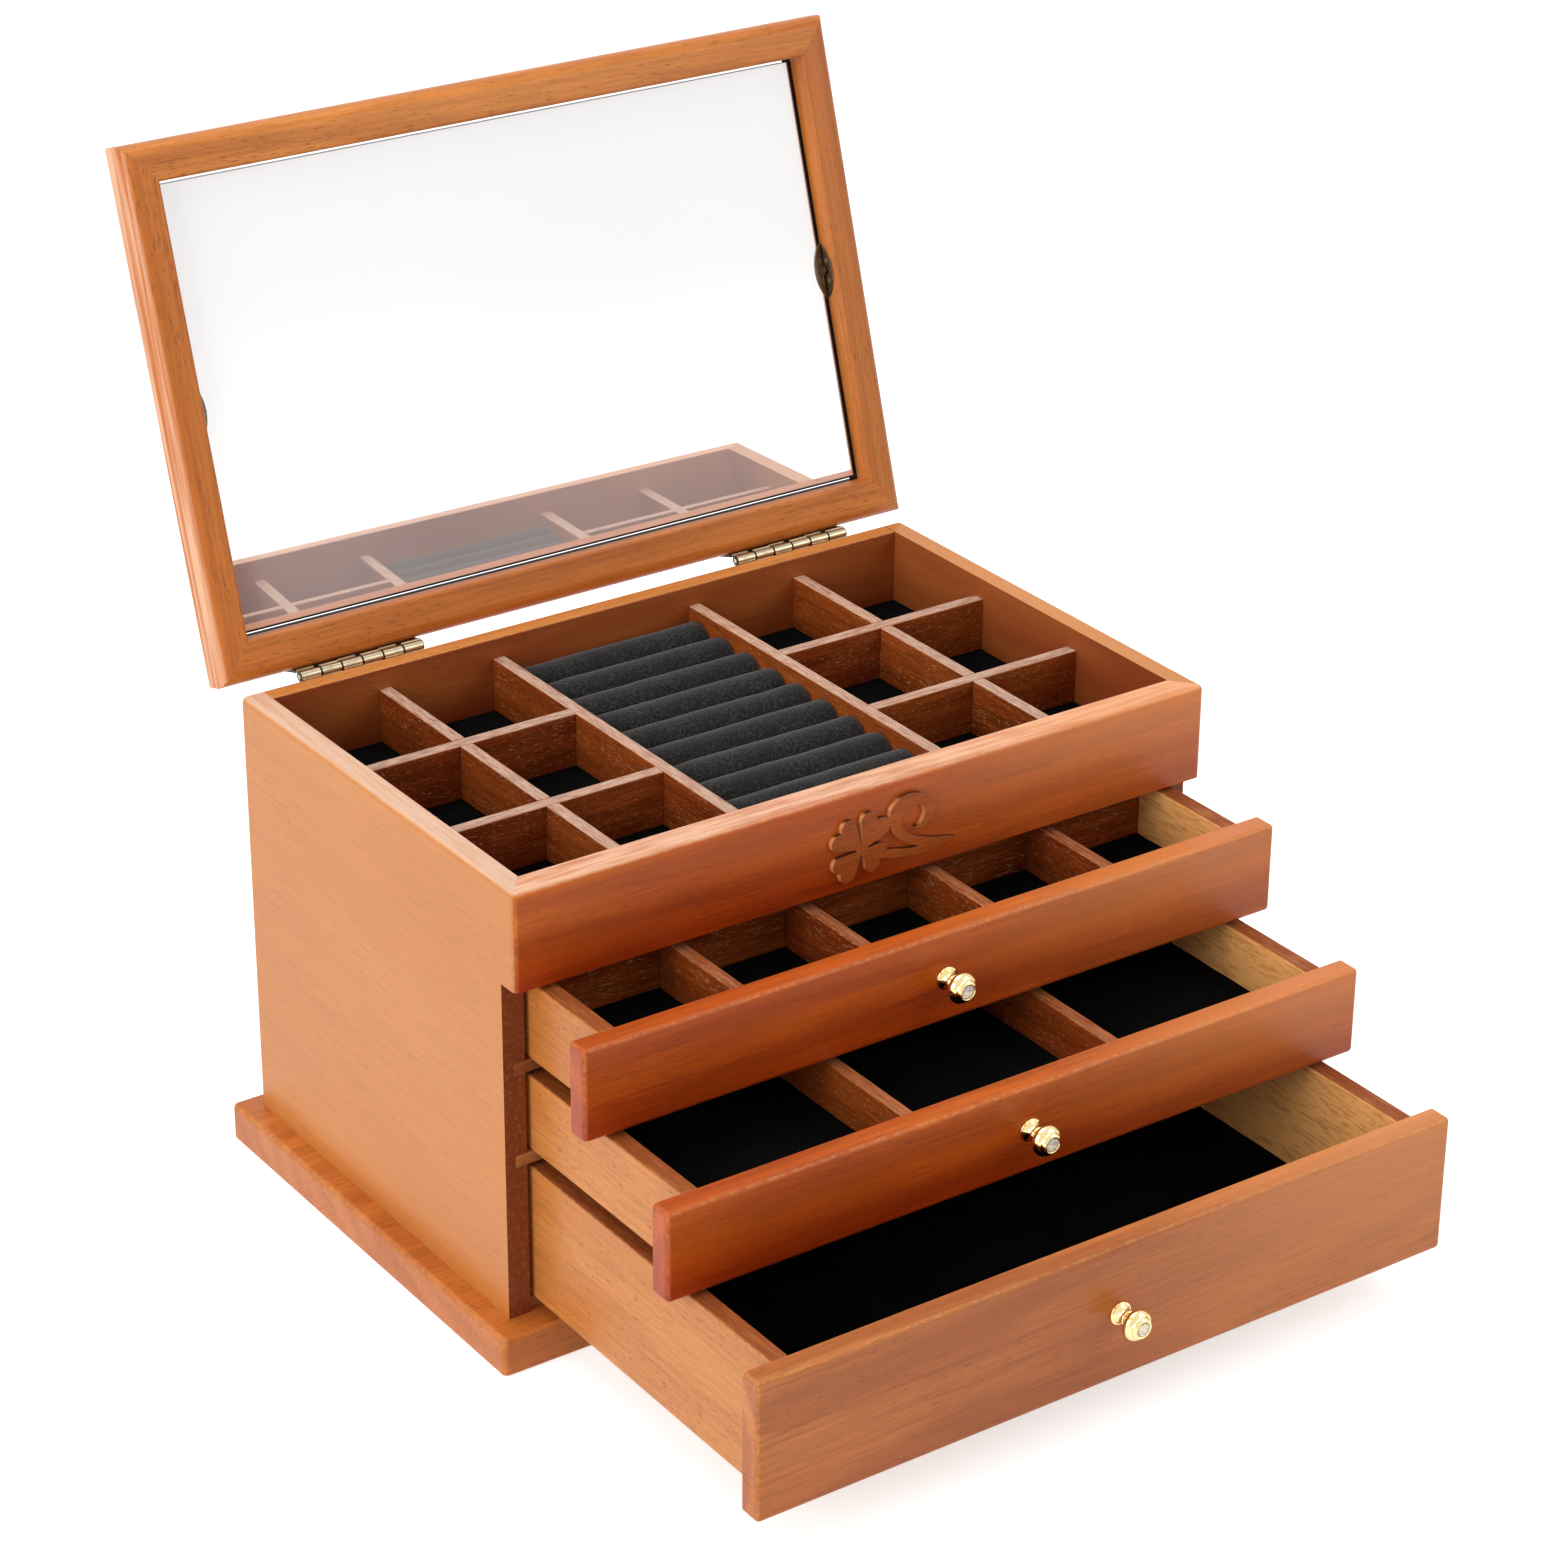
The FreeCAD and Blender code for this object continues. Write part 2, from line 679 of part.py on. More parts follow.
# Lid leaves of the hinges, screwed to the rear rail
lid_plate_y = (lid_rear, lid_rear + s.leaf_plate_thick)
lid_plate_z = (s.barrel_radius + s.leaf_plate_play, s.leaf_plate_high)
shut_screws = group("lid_screws_shut", [
    wood_screw("lid_screw_shut", (s.hinge_side * sign + s.screw_spread * step, lid_rear + s.leaf_plate_thick,
                                  pivot_z), (0, -1, 0), s.screw_head_radius, s.screw_shank_radius, s.screw_long)
    for sign in (-1, 1) for step in (-1, 0, 1)])
lid_leaves = [hinge_leaf("lid_leaf", s.hinge_side * sign, 1, (Size.of(0), Size.of(0)), lid_plate_y, lid_plate_z,
                         shut_screws) for sign in (-1, 1)]
node(in_lid("hinge_leaves_lid", lid_leaves), "hinge_leaves_lid")


# Mirror panel: a glass with a thin board behind it, hung on two clips
mirror_half = opening_half - s.pivot_plate_thick - s.clip_play - s.clip_sheet
mirror_outline = rectangle((-mirror_half, mirror_half),
                           (opening_front + s.mirror_end_gap, opening_rear - s.mirror_end_gap))
glass_z = (pivot_z + s.mirror_set_back, pivot_z + s.mirror_set_back + s.glass_thick)
board_z = (glass_z[1], glass_z[1] + s.mirror_board_thick)
node(open_lid(prism("mirror_glass", "XY", mirror_outline, *glass_z)), "mirror_glass")
node(open_lid(prism("mirror_back_board", "XY", mirror_outline, *board_z)), "mirror_back_board")

clip_radius = (s.clip_high * s.clip_high / 4 + s.clip_deep * s.clip_deep) / (s.clip_deep * 2)
clip_ends = span(pivot_y, s.clip_high)
for side, sign in (("left", -1), ("right", 1)):
    outer = (mirror_half + s.clip_sheet) * sign
    edge = mirror_half * sign
    tip = (mirror_half - s.clip_deep) * sign
    ends = clip_ends if sign > 0 else (clip_ends[1], clip_ends[0])
    outline = [(outer, ends[0]), (outer, ends[1]), (edge, ends[1]), (tip, pivot_y, clip_radius, -1),
               (edge, ends[0], clip_radius, -1)]
    clip = prism("mirror_clip_" + side, "XY", outline, glass_z[0] - s.clip_sheet, board_z[1] + s.clip_sheet)
    slot_x = (tip, edge) if sign > 0 else (edge, tip)
    pocket(clip, "XY", rectangle(slot_x, clip_ends), glass_z[0], board_z[1])
    ear_x = both_sides(mirror_half, mirror_half + s.clip_sheet)[side]
    prism("mirror_ear_" + side, "YZ", ("circle", pivot_y, pivot_z, s.ear_radius), ear_x[0], ear_x[1], clip)
    pivot_x = both_sides(mirror_half, mirror_half + s.pivot_long)[side]
    prism("mirror_pin_" + side, "YZ", ("circle", pivot_y, pivot_z, s.pivot_radius), pivot_x[0], pivot_x[1], clip)
    node(open_lid(clip), "mirror_clip_" + side)


# Drawers: a front that laps over the case, and behind it a grooved box
box_half = half_inner - s.drawer_side_play
box_inner_half = box_half - s.drawer_side_thick
box_rear = inner_rear - s.drawer_rear_play


def knob(name, y, z):
    """A turned brass knob with a stud, and the seat of its stone."""
    neck = s.knob_long * 0.42
    bulge = s.knob_long * 0.7
    face = s.knob_long
    bezel = s.stone_radius + 0.7
    profile = [
        (0, -s.knob_stud_long), (s.knob_stud_radius, -s.knob_stud_long), (s.knob_stud_radius, 0),
        (s.knob_base_radius, 0), (s.knob_base_radius, s.knob_long * 0.07),
        (s.knob_waist_radius, s.knob_long * 0.26, s.knob_long * 0.22, 1),
        (s.knob_waist_radius * 1.35, s.knob_long * 0.34, s.knob_long * 0.09, -1),
        (s.knob_waist_radius, neck, s.knob_long * 0.09, -1),
        (s.knob_head_radius, bulge, s.knob_long * 0.36, -1),
        (bezel, face, s.knob_long * 0.36, -1),
        (s.stone_radius, face), (s.stone_radius, face - s.stone_deep * 0.35), (0, face - s.stone_deep * 0.35 - 1.2),
    ]
    return turned(name, profile, (0, y, z))


def stone(name, y, z):
    """A cut glass stone that fills the seat in the knob's face."""
    seat = s.stone_deep * 0.35
    profile = [(0, -seat - 1.2), (s.stone_radius, -seat), (s.stone_radius, 0), (s.stone_radius * 0.55, s.stone_proud),
               (0, s.stone_proud)]
    return turned(name, profile, (0, y - s.knob_long, z))


def drawer(name, top, bottom, shelf_top, drawn):
    """All pieces of one drawer, drawn out of the case by a given length."""
    front_y = (apron_face - drawn, case_front - s.front_seat - drawn)
    box_y = (front_y[1], box_rear - drawn)
    box_z = (shelf_top + s.drawer_lift, top)
    inner_y = (box_y[0], box_y[1] - s.drawer_back_thick)
    floor_z = (box_z[0] + s.drawer_floor_raise, box_z[0] + s.drawer_floor_raise + s.drawer_floor_thick)
    lining_z = (floor_z[1], floor_z[1] + s.lining_thick)
    middle = (top + bottom) / 2

    floor = block(name + "_bottom", span(0, (box_inner_half + s.groove_deep) * 2),
                  (inner_y[0] - s.groove_deep, inner_y[1] + s.groove_deep), floor_z)
    node(floor, name + "_bottom")
    node(block(name + "_lining", span(0, box_inner_half * 2), inner_y, lining_z), name + "_lining")
    turned_knob = node(knob(name + "_knob", front_y[0], middle), name + "_knob")
    node(stone(name + "_knob_stone", front_y[0], middle), name + "_knob_stone")

    front = prism(name + "_front", "XZ", rectangle(span(0, s.case_width), (bottom, top)), front_y[0], front_y[1])
    round_edges(front, s.front_round, lambda box: not flat_at(box, "Y", front_y[1]))
    node(cut(name + "_front", front, [floor, turned_knob]), name + "_front")
    for side in ("left", "right"):
        board = block(name + "_side_" + side, both_sides(box_inner_half, box_half)[side], box_y, box_z)
        node(cut(name + "_side_" + side, board, [floor]), name + "_side_" + side)
    rear = block(name + "_back", span(0, box_inner_half * 2), (inner_y[1], box_y[1]), box_z)
    node(cut(name + "_back", rear, [floor]), name + "_back")
    return inner_y, (lining_z[1], top - s.drawer_divider_drop)


def divider_centres(count):
    """Centres of dividers that part a drawer's width evenly."""
    cell = (box_inner_half * 2 - s.divider_thick * count) / (count + 1)
    return [(cell + s.divider_thick) * (number + 1) - s.divider_thick / 2 - box_inner_half for number in range(count)]


upper_inner, upper_z = drawer("drawer_upper", upper_front_top, upper_front_bottom,
                              upper_front_bottom + s.shelf_thick, s.upper_open)
middle_inner, middle_z = drawer("drawer_middle", middle_front_top, middle_front_bottom,
                                middle_front_bottom + s.shelf_thick, s.middle_open)
drawer("drawer_lower", lower_front_top, lower_front_bottom, s.base_thick + s.shelf_thick, s.lower_open)

middle_dividers = [block("middle_divider", span(centre, s.divider_thick), middle_inner, middle_z)
                   for centre in divider_centres(2)]
node(group("drawer_middle_dividers", middle_dividers), "drawer_middle_dividers")

partition_y = (upper_inner[0] + s.upper_row_deep, upper_inner[0] + s.upper_row_deep + s.divider_thick)
partition_centre = (partition_y[0] + partition_y[1]) / 2
upper_halving = (upper_z[0] + upper_z[1]) / 2
upper_dividers = []
partition_slots = []
for number, centre in enumerate(divider_centres(4)):
    divider = block("upper_divider", span(centre, s.divider_thick), upper_inner, upper_z)
    top_slot = block("slot", span(centre, slot_wide), span(partition_centre, slot_wide), (upper_halving, upper_z[1]))
    upper_dividers.append(cut("upper_divider" + str(number), divider, [top_slot]))
    partition_slots.append(block("slot", span(centre, slot_wide), span(partition_centre, slot_wide),
                                 (upper_z[0], upper_halving)))
node(group("drawer_upper_dividers", upper_dividers), "drawer_upper_dividers")
partition = block("drawer_upper_partition", span(0, box_inner_half * 2), partition_y, upper_z)
node(cut("drawer_upper_partition", partition, partition_slots), "drawer_upper_partition")


# Clover: a flat cut-out glued to the apron, four heart leaves with a curling stem
# Each leaf: its angle, its share of the reach and of the lobe, and half the angle between its lobes
LEAVES = ((58, 0.97, 1.1, 18.5), (137.5, 1.0, 1.0, 15.5), (216, 0.92, 1.0, 15.5), (322, 0.73, 1.0, 19.0))
CURL_OUTER = [(39.8, -5.7), (28.0, -6.4), (20.0, -3.3), (14.0, 1.4), (11.4, 7.0), (11.7, 12.0), (15.8, 15.4),
              (21.8, 15.8), (27.6, 13.0), (30.2, 8.0), (28.0, 3.4), (21.8, 2.6)]
CURL_INNER = [(21.8, 2.6), (24.8, 4.2), (26.0, 7.4), (24.4, 10.6), (20.6, 11.4), (16.9, 9.4), (16.0, 5.6),
              (19.0, 1.2), (24.4, -1.7), (31.0, -3.7), (39.8, -5.7)]
STEM = [(4.5, -1.6), (10.8, -2.8), (20.0, -5.0), (30.0, -5.4), (38.0, -5.6), (38.4, -6.3), (31.0, -8.0),
        (23.0, -8.4), (15.8, -7.3), (8.0, -5.4)]


def leaf(reach, lobe, angle, spread):
    """A heart-shaped leaf from the centre of the clover."""
    along = (reach - lobe) * math.cos(math.radians(spread))
    aside = (reach - lobe) * math.sin(math.radians(spread))
    tangent = math.radians(spread) + math.asin(lobe / (reach - lobe))
    touch = math.sqrt((reach - lobe) ** 2 - lobe ** 2)
    side = Vector(touch * math.cos(tangent), 0, touch * math.sin(tangent))
    wedge = Part.Face(Part.makePolygon([Vector(0, 0, 0), side, Vector(along, 0, aside), Vector(along, 0, -aside),
                                        Vector(side.x, 0, -side.z), Vector(0, 0, 0)]))
    shape = wedge
    for sign in (-1, 1):
        circle = Part.makeCircle(lobe, Vector(along, 0, aside * sign), Vector(0, 1, 0))
        shape = shape.fuse(Part.Face(Part.Wire(circle)))
    shape.rotate(Vector(0, 0, 0), Vector(0, 1, 0), -angle)
    return shape


def drawn(points):
    """Points of the stem's drawing, at the stem's own length."""
    scale = s.stem_long.value / CURL_OUTER[0][0]
    return [Vector(x * scale, 0, z * scale) for x, z in points]


def smooth(points):
    curve = Part.BSplineCurve()
    curve.interpolate(drawn(points))
    return curve.toShape()


def clover():
    curl = Part.Face(Part.Wire([smooth(CURL_OUTER), smooth(CURL_INNER)]))
    stem = Part.Face(Part.makePolygon(drawn(STEM + STEM[:1])))
    heart = Part.Face(Part.Wire(Part.makeCircle(s.leaf_lobe.value * 0.7, Vector(0, 0, 0), Vector(0, 1, 0))))
    leaves = [leaf(s.leaf_reach.value * reach, s.leaf_lobe.value * lobe, angle, spread)
              for angle, reach, lobe, spread in LEAVES]
    flat = heart.multiFuse(leaves + [curl, stem]).removeSplitter()
    solids = [face.extrude(Vector(0, -s.ornament_thick.value, 0)) for face in flat.Faces]
    return solids[0].multiFuse(solids[1:]).removeSplitter() if len(solids) > 1 else solids[0]


ornament = doc.addObject("Part::Feature", "clover")
ornament.Shape = clover()
place(ornament, s.ornament_side, apron_face, (rim + apron_bottom) / 2 - s.ornament_drop)
node(ornament, "clover_ornament")


doc.recompute()
problems = []
for obj in doc.Objects:
    if "Invalid" in obj.State or "Error" in obj.State:
        problems.append(obj.Name + " is " + " ".join(obj.State))
for obj in nodes:
    if obj.Shape.isNull() or not obj.Shape.isValid() or not obj.Shape.Solids:
        problems.append(obj.Label + " has no valid solid")
if problems:
    raise RuntimeError("; ".join(problems))

os.makedirs("parts", exist_ok=True)
for obj in nodes:
    obj.Shape.exportStep(os.path.join("parts", obj.Label + ".step"))
print(len(nodes), "nodes written")
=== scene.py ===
"""A wooden jewellery box with its lid up and its three drawers drawn out."""
import json
import math

import bmesh
import bpy
from mathutils import Matrix, Vector

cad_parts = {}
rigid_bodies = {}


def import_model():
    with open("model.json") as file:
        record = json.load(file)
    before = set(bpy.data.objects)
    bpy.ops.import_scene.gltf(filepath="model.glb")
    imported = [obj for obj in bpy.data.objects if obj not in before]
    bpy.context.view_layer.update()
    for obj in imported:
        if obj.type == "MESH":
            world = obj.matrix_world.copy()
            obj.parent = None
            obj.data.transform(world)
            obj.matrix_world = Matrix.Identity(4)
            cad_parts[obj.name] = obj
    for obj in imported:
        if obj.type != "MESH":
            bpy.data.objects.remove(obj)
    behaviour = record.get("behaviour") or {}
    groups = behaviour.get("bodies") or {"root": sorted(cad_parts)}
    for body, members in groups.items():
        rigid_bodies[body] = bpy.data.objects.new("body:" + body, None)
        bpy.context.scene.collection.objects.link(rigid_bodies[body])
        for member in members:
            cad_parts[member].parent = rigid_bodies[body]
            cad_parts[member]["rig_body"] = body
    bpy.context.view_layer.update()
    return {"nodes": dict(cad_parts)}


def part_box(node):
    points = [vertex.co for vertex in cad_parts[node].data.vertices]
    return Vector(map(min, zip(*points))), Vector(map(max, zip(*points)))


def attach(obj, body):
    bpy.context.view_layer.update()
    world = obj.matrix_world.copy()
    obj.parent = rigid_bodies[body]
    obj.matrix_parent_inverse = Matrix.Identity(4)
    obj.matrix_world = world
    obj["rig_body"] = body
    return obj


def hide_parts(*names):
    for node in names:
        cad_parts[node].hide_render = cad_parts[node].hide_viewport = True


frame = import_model()


# Base board: one plain board, wider than the case on every side, with its edges
# rounded over. It is stained and lacquered like the rest of the outside.
def new_node(tree, kind, **settings):
    made = tree.nodes.new(kind)
    for key, value in settings.items():
        setattr(made, key, value)
    return made


def scaled(tree, vector, scale):
    made = new_node(tree, "ShaderNodeVectorMath", operation="MULTIPLY")
    tree.links.new(vector, made.inputs[0])
    made.inputs[1].default_value = scale
    return made.outputs[0]


def noise(tree, vector, scale, detail=2.0, roughness=0.5, distortion=0.0):
    made = new_node(tree, "ShaderNodeTexNoise")
    tree.links.new(scaled(tree, vector, scale), made.inputs["Vector"])
    made.inputs["Scale"].default_value = 1.0
    made.inputs["Detail"].default_value = detail
    made.inputs["Roughness"].default_value = roughness
    made.inputs["Distortion"].default_value = distortion
    return made.outputs["Fac"]


def spread(tree, value, low, high, to_low=0.0, to_high=1.0):
    made = new_node(tree, "ShaderNodeMapRange", interpolation_type="SMOOTHSTEP")
    tree.links.new(value, made.inputs["Value"])
    for key, number in (("From Min", low), ("From Max", high), ("To Min", to_low), ("To Max", to_high)):
        made.inputs[key].default_value = number
    return made.outputs["Result"]


def work_out(tree, operation, first, second):
    made = new_node(tree, "ShaderNodeMath", operation=operation)
    for socket, value in zip(made.inputs, (first, second)):
        if isinstance(value, (int, float)):
            socket.default_value = value
        else:
            tree.links.new(value, socket)
    return made.outputs[0]


def product(tree, first, second):
    return work_out(tree, "MULTIPLY", first, second)


def blended(tree, amount, first, second, way="MIX"):
    made = new_node(tree, "ShaderNodeMix", data_type="RGBA", blend_type=way)
    for socket, value in zip((made.inputs[0], made.inputs[6], made.inputs[7]), (amount, first, second)):
        if isinstance(value, (int, float)):
            socket.default_value = value
        elif isinstance(value, tuple):
            socket.default_value = (*value, 1.0)
        else:
            tree.links.new(value, socket)
    return made.outputs[2]


def make_grain():
    """Stained wood: broad figure, growth rings, fine fibres and open pores, running along X."""
    tree = bpy.data.node_groups.new("wood_grain", "ShaderNodeTree")
    for name, kind in (("Vector", "Vector"), ("Light", "Color"), ("Middle", "Color"), ("Dark", "Color"),
                       ("Pore Tone", "Color"), ("Pores", "Float"), ("Figure", "Float"),
                       ("Streaks", "Float")):
        tree.interface.new_socket(name, in_out="INPUT", socket_type="NodeSocket" + kind)
    for name, kind in (("Color", "Color"), ("Roughness", "Float"), ("Height", "Float")):
        tree.interface.new_socket(name, in_out="OUTPUT", socket_type="NodeSocket" + kind)
    given = new_node(tree, "NodeGroupInput").outputs
    put = new_node(tree, "NodeGroupOutput").inputs
    place, dark, figure = given["Vector"], given["Dark"], given["Figure"]

    # The log's heart lies beside and below the board, so that its rings cross the faces slowly.
    tilt = new_node(tree, "ShaderNodeVectorMath", operation="ADD")
    tree.links.new(place, tilt.inputs[0])
    tilt.inputs[1].default_value = (0.0, 0.05, -0.17)
    rings = new_node(tree, "ShaderNodeTexWave", wave_type="RINGS", rings_direction="X", wave_profile="SIN")
    tree.links.new(scaled(tree, tilt.outputs[0], (0.22, 1, 1)), rings.inputs["Vector"])
    for key, number in (("Scale", 26.0), ("Distortion", 5.0), ("Detail", 2.0), ("Detail Scale", 0.9),
                        ("Detail Roughness", 0.5)):
        rings.inputs[key].default_value = number
    ring_lines = spread(tree, rings.outputs["Fac"], 0.15, 0.95)

    # Masks, from the broadest to the finest.
    broad = spread(tree, noise(tree, place, (3.2, 20, 20), 3.0, 0.55, 0.4), 0.3, 0.72)
    clouds = spread(tree, noise(tree, place, (11, 17, 17), 2.0), 0.3, 0.7)
    patches = spread(tree, noise(tree, place, (14, 60, 60), 1.0), 0.35, 0.65, 0.35, 1.0)
    waves = noise(tree, place, (5, 130, 130), 1.0, 0.5, 0.5)
    off_wave = work_out(tree, "ABSOLUTE", work_out(tree, "SUBTRACT", waves, 0.5), 0.0)
    thin = product(tree, spread(tree, off_wave, 0.035, 0.0), patches)
    fibres = noise(tree, place, (38, 760, 760), 3.0, 0.6)
    pores = product(tree, spread(tree, noise(tree, place, (240, 1500, 1500), 1.0, 0.4), 0.6, 0.7), patches)
    pores = product(tree, pores, given["Pores"])

    tone = blended(tree, broad, given["Middle"], given["Light"])
    tone = blended(tree, product(tree, ring_lines, figure), tone, dark)
    tone = blended(tree, product(tree, thin, figure), tone, dark)
    tone = blended(tree, product(tree, clouds, 0.22), tone, dark)
    lines = spread(tree, fibres, 0.25, 0.75, -1.0, 1.0)
    streaks = work_out(tree, "ADD", 1.0, product(tree, lines, given["Streaks"]))
    shade = new_node(tree, "ShaderNodeCombineColor")
    for socket in shade.inputs[:3]:
        tree.links.new(streaks, socket)
    tone = blended(tree, 1.0, tone, shade.outputs[0], "MULTIPLY")
    tree.links.new(blended(tree, pores, tone, given["Pore Tone"]), put["Color"])
    tree.links.new(work_out(tree, "ADD", 0.36, product(tree, pores, 0.3)), put["Roughness"])
    tree.links.new(work_out(tree, "SUBTRACT", product(tree, fibres, 0.35), pores), put["Height"])
    return tree


GRAIN = make_grain()
ALONG = {"x": (0, 0, 0), "y": (0, 0, math.radians(-90))}
OUTSIDE = ((0.66, 0.215, 0.042), (0.56, 0.155, 0.025), (0.36, 0.075, 0.010))
WORN_WOOD = (0.86, 0.42, 0.13)
board_count = 0


def wood(name, along, tones=OUTSIDE, pores=0.35, figure=0.35, coat=0.1, relief=0.35, faces=(), streaks=0.13,
         pore_tone=(0.07, 0.014, 0.004), worn=0.22, gloss=0.25, fineness=1.0):
    """Lacquered wood with its grain along x or y, or turned by three angles. Faces that point
    one way may take another tone: each is (direction, tone, amount, size of its streaks), and
    last, where its streaks stand out, how little of the tone is between them."""
    global board_count
    board_count += 1
    material = bpy.data.materials.new(name)
    material.use_nodes = True
    tree = material.node_tree
    shader = tree.nodes["Principled BSDF"]
    coordinates = new_node(tree, "ShaderNodeTexCoord")
    mapping = new_node(tree, "ShaderNodeMapping")
    mapping.inputs["Rotation"].default_value = ALONG[along] if isinstance(along, str) else along
    # Each board is cut from another place in the log.
    cut_at = (0.37 * board_count, 0.031 * (board_count % 5), 0.023 * (board_count % 7))
    mapping.inputs["Location"].default_value = cut_at
    mapping.inputs["Scale"].default_value = (fineness, fineness, fineness)
    tree.links.new(coordinates.outputs["Object"], mapping.inputs["Vector"])
    grain = new_node(tree, "ShaderNodeGroup", node_tree=GRAIN)
    tree.links.new(mapping.outputs[0], grain.inputs["Vector"])
    for key, tone in zip(("Light", "Middle", "Dark"), tones):
        grain.inputs[key].default_value = (*tone, 1.0)
    grain.inputs["Pore Tone"].default_value = (*pore_tone, 1.0)
    grain.inputs["Streaks"].default_value = streaks
    grain.inputs["Pores"].default_value = pores
    grain.inputs["Figure"].default_value = figure
    bump = new_node(tree, "ShaderNodeBump")
    bump.inputs["Strength"].default_value = relief
    bump.inputs["Distance"].default_value = 0.0003
    tree.links.new(grain.outputs["Height"], bump.inputs["Height"])
    tree.links.new(bump.outputs[0], shader.inputs["Normal"])
    color = grain.outputs["Color"]
    rough = grain.outputs["Roughness"]
    for direction, tone, amount, streak, *least in faces:
        facing = new_node(tree, "ShaderNodeVectorMath", operation="DOT_PRODUCT")
        tree.links.new(coordinates.outputs["Normal"], facing.inputs[0])
        facing.inputs[1].default_value = direction
        between = least[0] if least else 0.6
        uneven = spread(tree, noise(tree, mapping.outputs[0], streak, 3.0, 0.6), 0.3, 0.65, between)
        there = product(tree, spread(tree, facing.outputs["Value"], 0.45, 0.9), uneven)
        color = blended(tree, product(tree, there, amount), color, tone)
        rough = work_out(tree, "MAXIMUM", rough, product(tree, there, 0.8))
    split = new_node(tree, "ShaderNodeSeparateXYZ")
    tree.links.new(coordinates.outputs["Normal"], split.inputs[0])
    sizes = [work_out(tree, "ABSOLUTE", socket, 0.0) for socket in split.outputs]
    flatness = work_out(tree, "MAXIMUM", work_out(tree, "MAXIMUM", sizes[0], sizes[1]), sizes[2])
    dots = noise(tree, coordinates.outputs["Object"], (420, 420, 420), 2.0)
    edge = product(tree, spread(tree, flatness, 0.97, 0.84), spread(tree, dots, 0.4, 0.62, 0.15, 1.0))
    color = blended(tree, product(tree, edge, worn), color, WORN_WOOD)
    tree.links.new(color, shader.inputs["Base Color"])
    tree.links.new(rough, shader.inputs["Roughness"])
    shader.inputs["Specular IOR Level"].default_value = gloss
    shader.inputs["Coat Weight"].default_value = coat
    shader.inputs["Coat Roughness"].default_value = 0.22
    return material


def finish_with(piece, material):
    piece.data.materials.clear()
    piece.data.materials.append(material)


# Points of a CAD mesh that are closer than this are one point.
WELD = 2e-6


def eased(node, material, width=0.0005):
    """The CAD board again as one smooth mesh, with its sharp edges eased by sanding."""
    mesh = bpy.data.meshes.new(node + "_eased")
    shape = bmesh.new()
    shape.from_mesh(frame["nodes"][node].data)
    bmesh.ops.remove_doubles(shape, verts=shape.verts, dist=WELD)
    bmesh.ops.dissolve_limit(shape, angle_limit=math.radians(0.5), verts=shape.verts, edges=shape.edges)
    shape.to_mesh(mesh)
    shape.free()
    piece = bpy.data.objects.new(node + "_eased", mesh)
    bpy.context.collection.objects.link(piece)
    mesh.shade_smooth()
    mesh.set_sharp_from_angle(angle=math.radians(30))
    bevel = piece.modifiers.new("eased", "BEVEL")
    bevel.width = width
    bevel.segments = 2
    bevel.limit_method = "ANGLE"
    bevel.angle_limit = math.radians(50)
    flat = piece.modifiers.new("flat_faces", "WEIGHTED_NORMAL")
    flat.weight = 100
    flat.keep_sharp = True
    finish_with(piece, material)
    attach(piece, frame["nodes"][node]["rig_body"])
    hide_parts(node)


eased("base_board", wood("base_board_wood", "x", figure=0.25))


# Case walls: two side panels and a back, 8 to 9 mm thick, glued and sanded as one.
# The side panels stand forward at tray level, where they meet the apron in a mitre.
SIDE = ((0.67, 0.255, 0.062), (0.62, 0.22, 0.05), (0.50, 0.15, 0.028))
# FRONT: deeper, redder tones than SIDE for the apron and the drawer fronts, which face away from the main
# light: partly painted shade.
FRONT = ((0.68, 0.15, 0.009), (0.53, 0.088, 0.003), (0.27, 0.028, 0.001))
# LOWER_FRONT: paler tones for the lowest front, painted lighter for the light it takes from the white floor
# below.
LOWER_FRONT = ((0.63, 0.21, 0.05), (0.54, 0.155, 0.03), (0.34, 0.075, 0.012))
# SHADED: painted shade for the faces that turn inward, into the case and the drawers, where less light
# reaches.
SHADED = (0.26, 0.034, 0.003)
BROAD = (5, 30, 30)
FINE = (90, 600, 600)
# The tops of the rims are painted paler: partly dust and bare wood, partly painted sheen from the light
# above.
DUST_AND_SHEEN_RIM = ((0, 0, 1), (0.80, 0.58, 0.45), 0.75, (40, 500, 500))
SAWN_EDGE = ((0, -1, 0), (0.20, 0.045, 0.008), 1.3, FINE)
for side, inward in (("left", 1), ("right", -1)):
    faces = [((inward, 0, 0), SHADED, 0.9, BROAD), SAWN_EDGE]
    if side == "left":
        faces.append(DUST_AND_SHEEN_RIM)
    side_wood = wood("side_" + side + "_wood", "y", SIDE, 0.12, 0.08, faces=faces, streaks=0.05)
    eased("side_panel_" + side, side_wood)
eased("back_panel", wood("back_wood", "x", SIDE, figure=0.25, faces=[((0, -1, 0), SHADED, 1.0, BROAD)]))
PAINTED_SHADE_TONE = (0.74, 0.42, 0.35)
PAINTED_SHEEN_TONE = (0.97, 0.38, 0.12)
SHEEN_FROM = -0.02
SHEEN_TO = 0.11


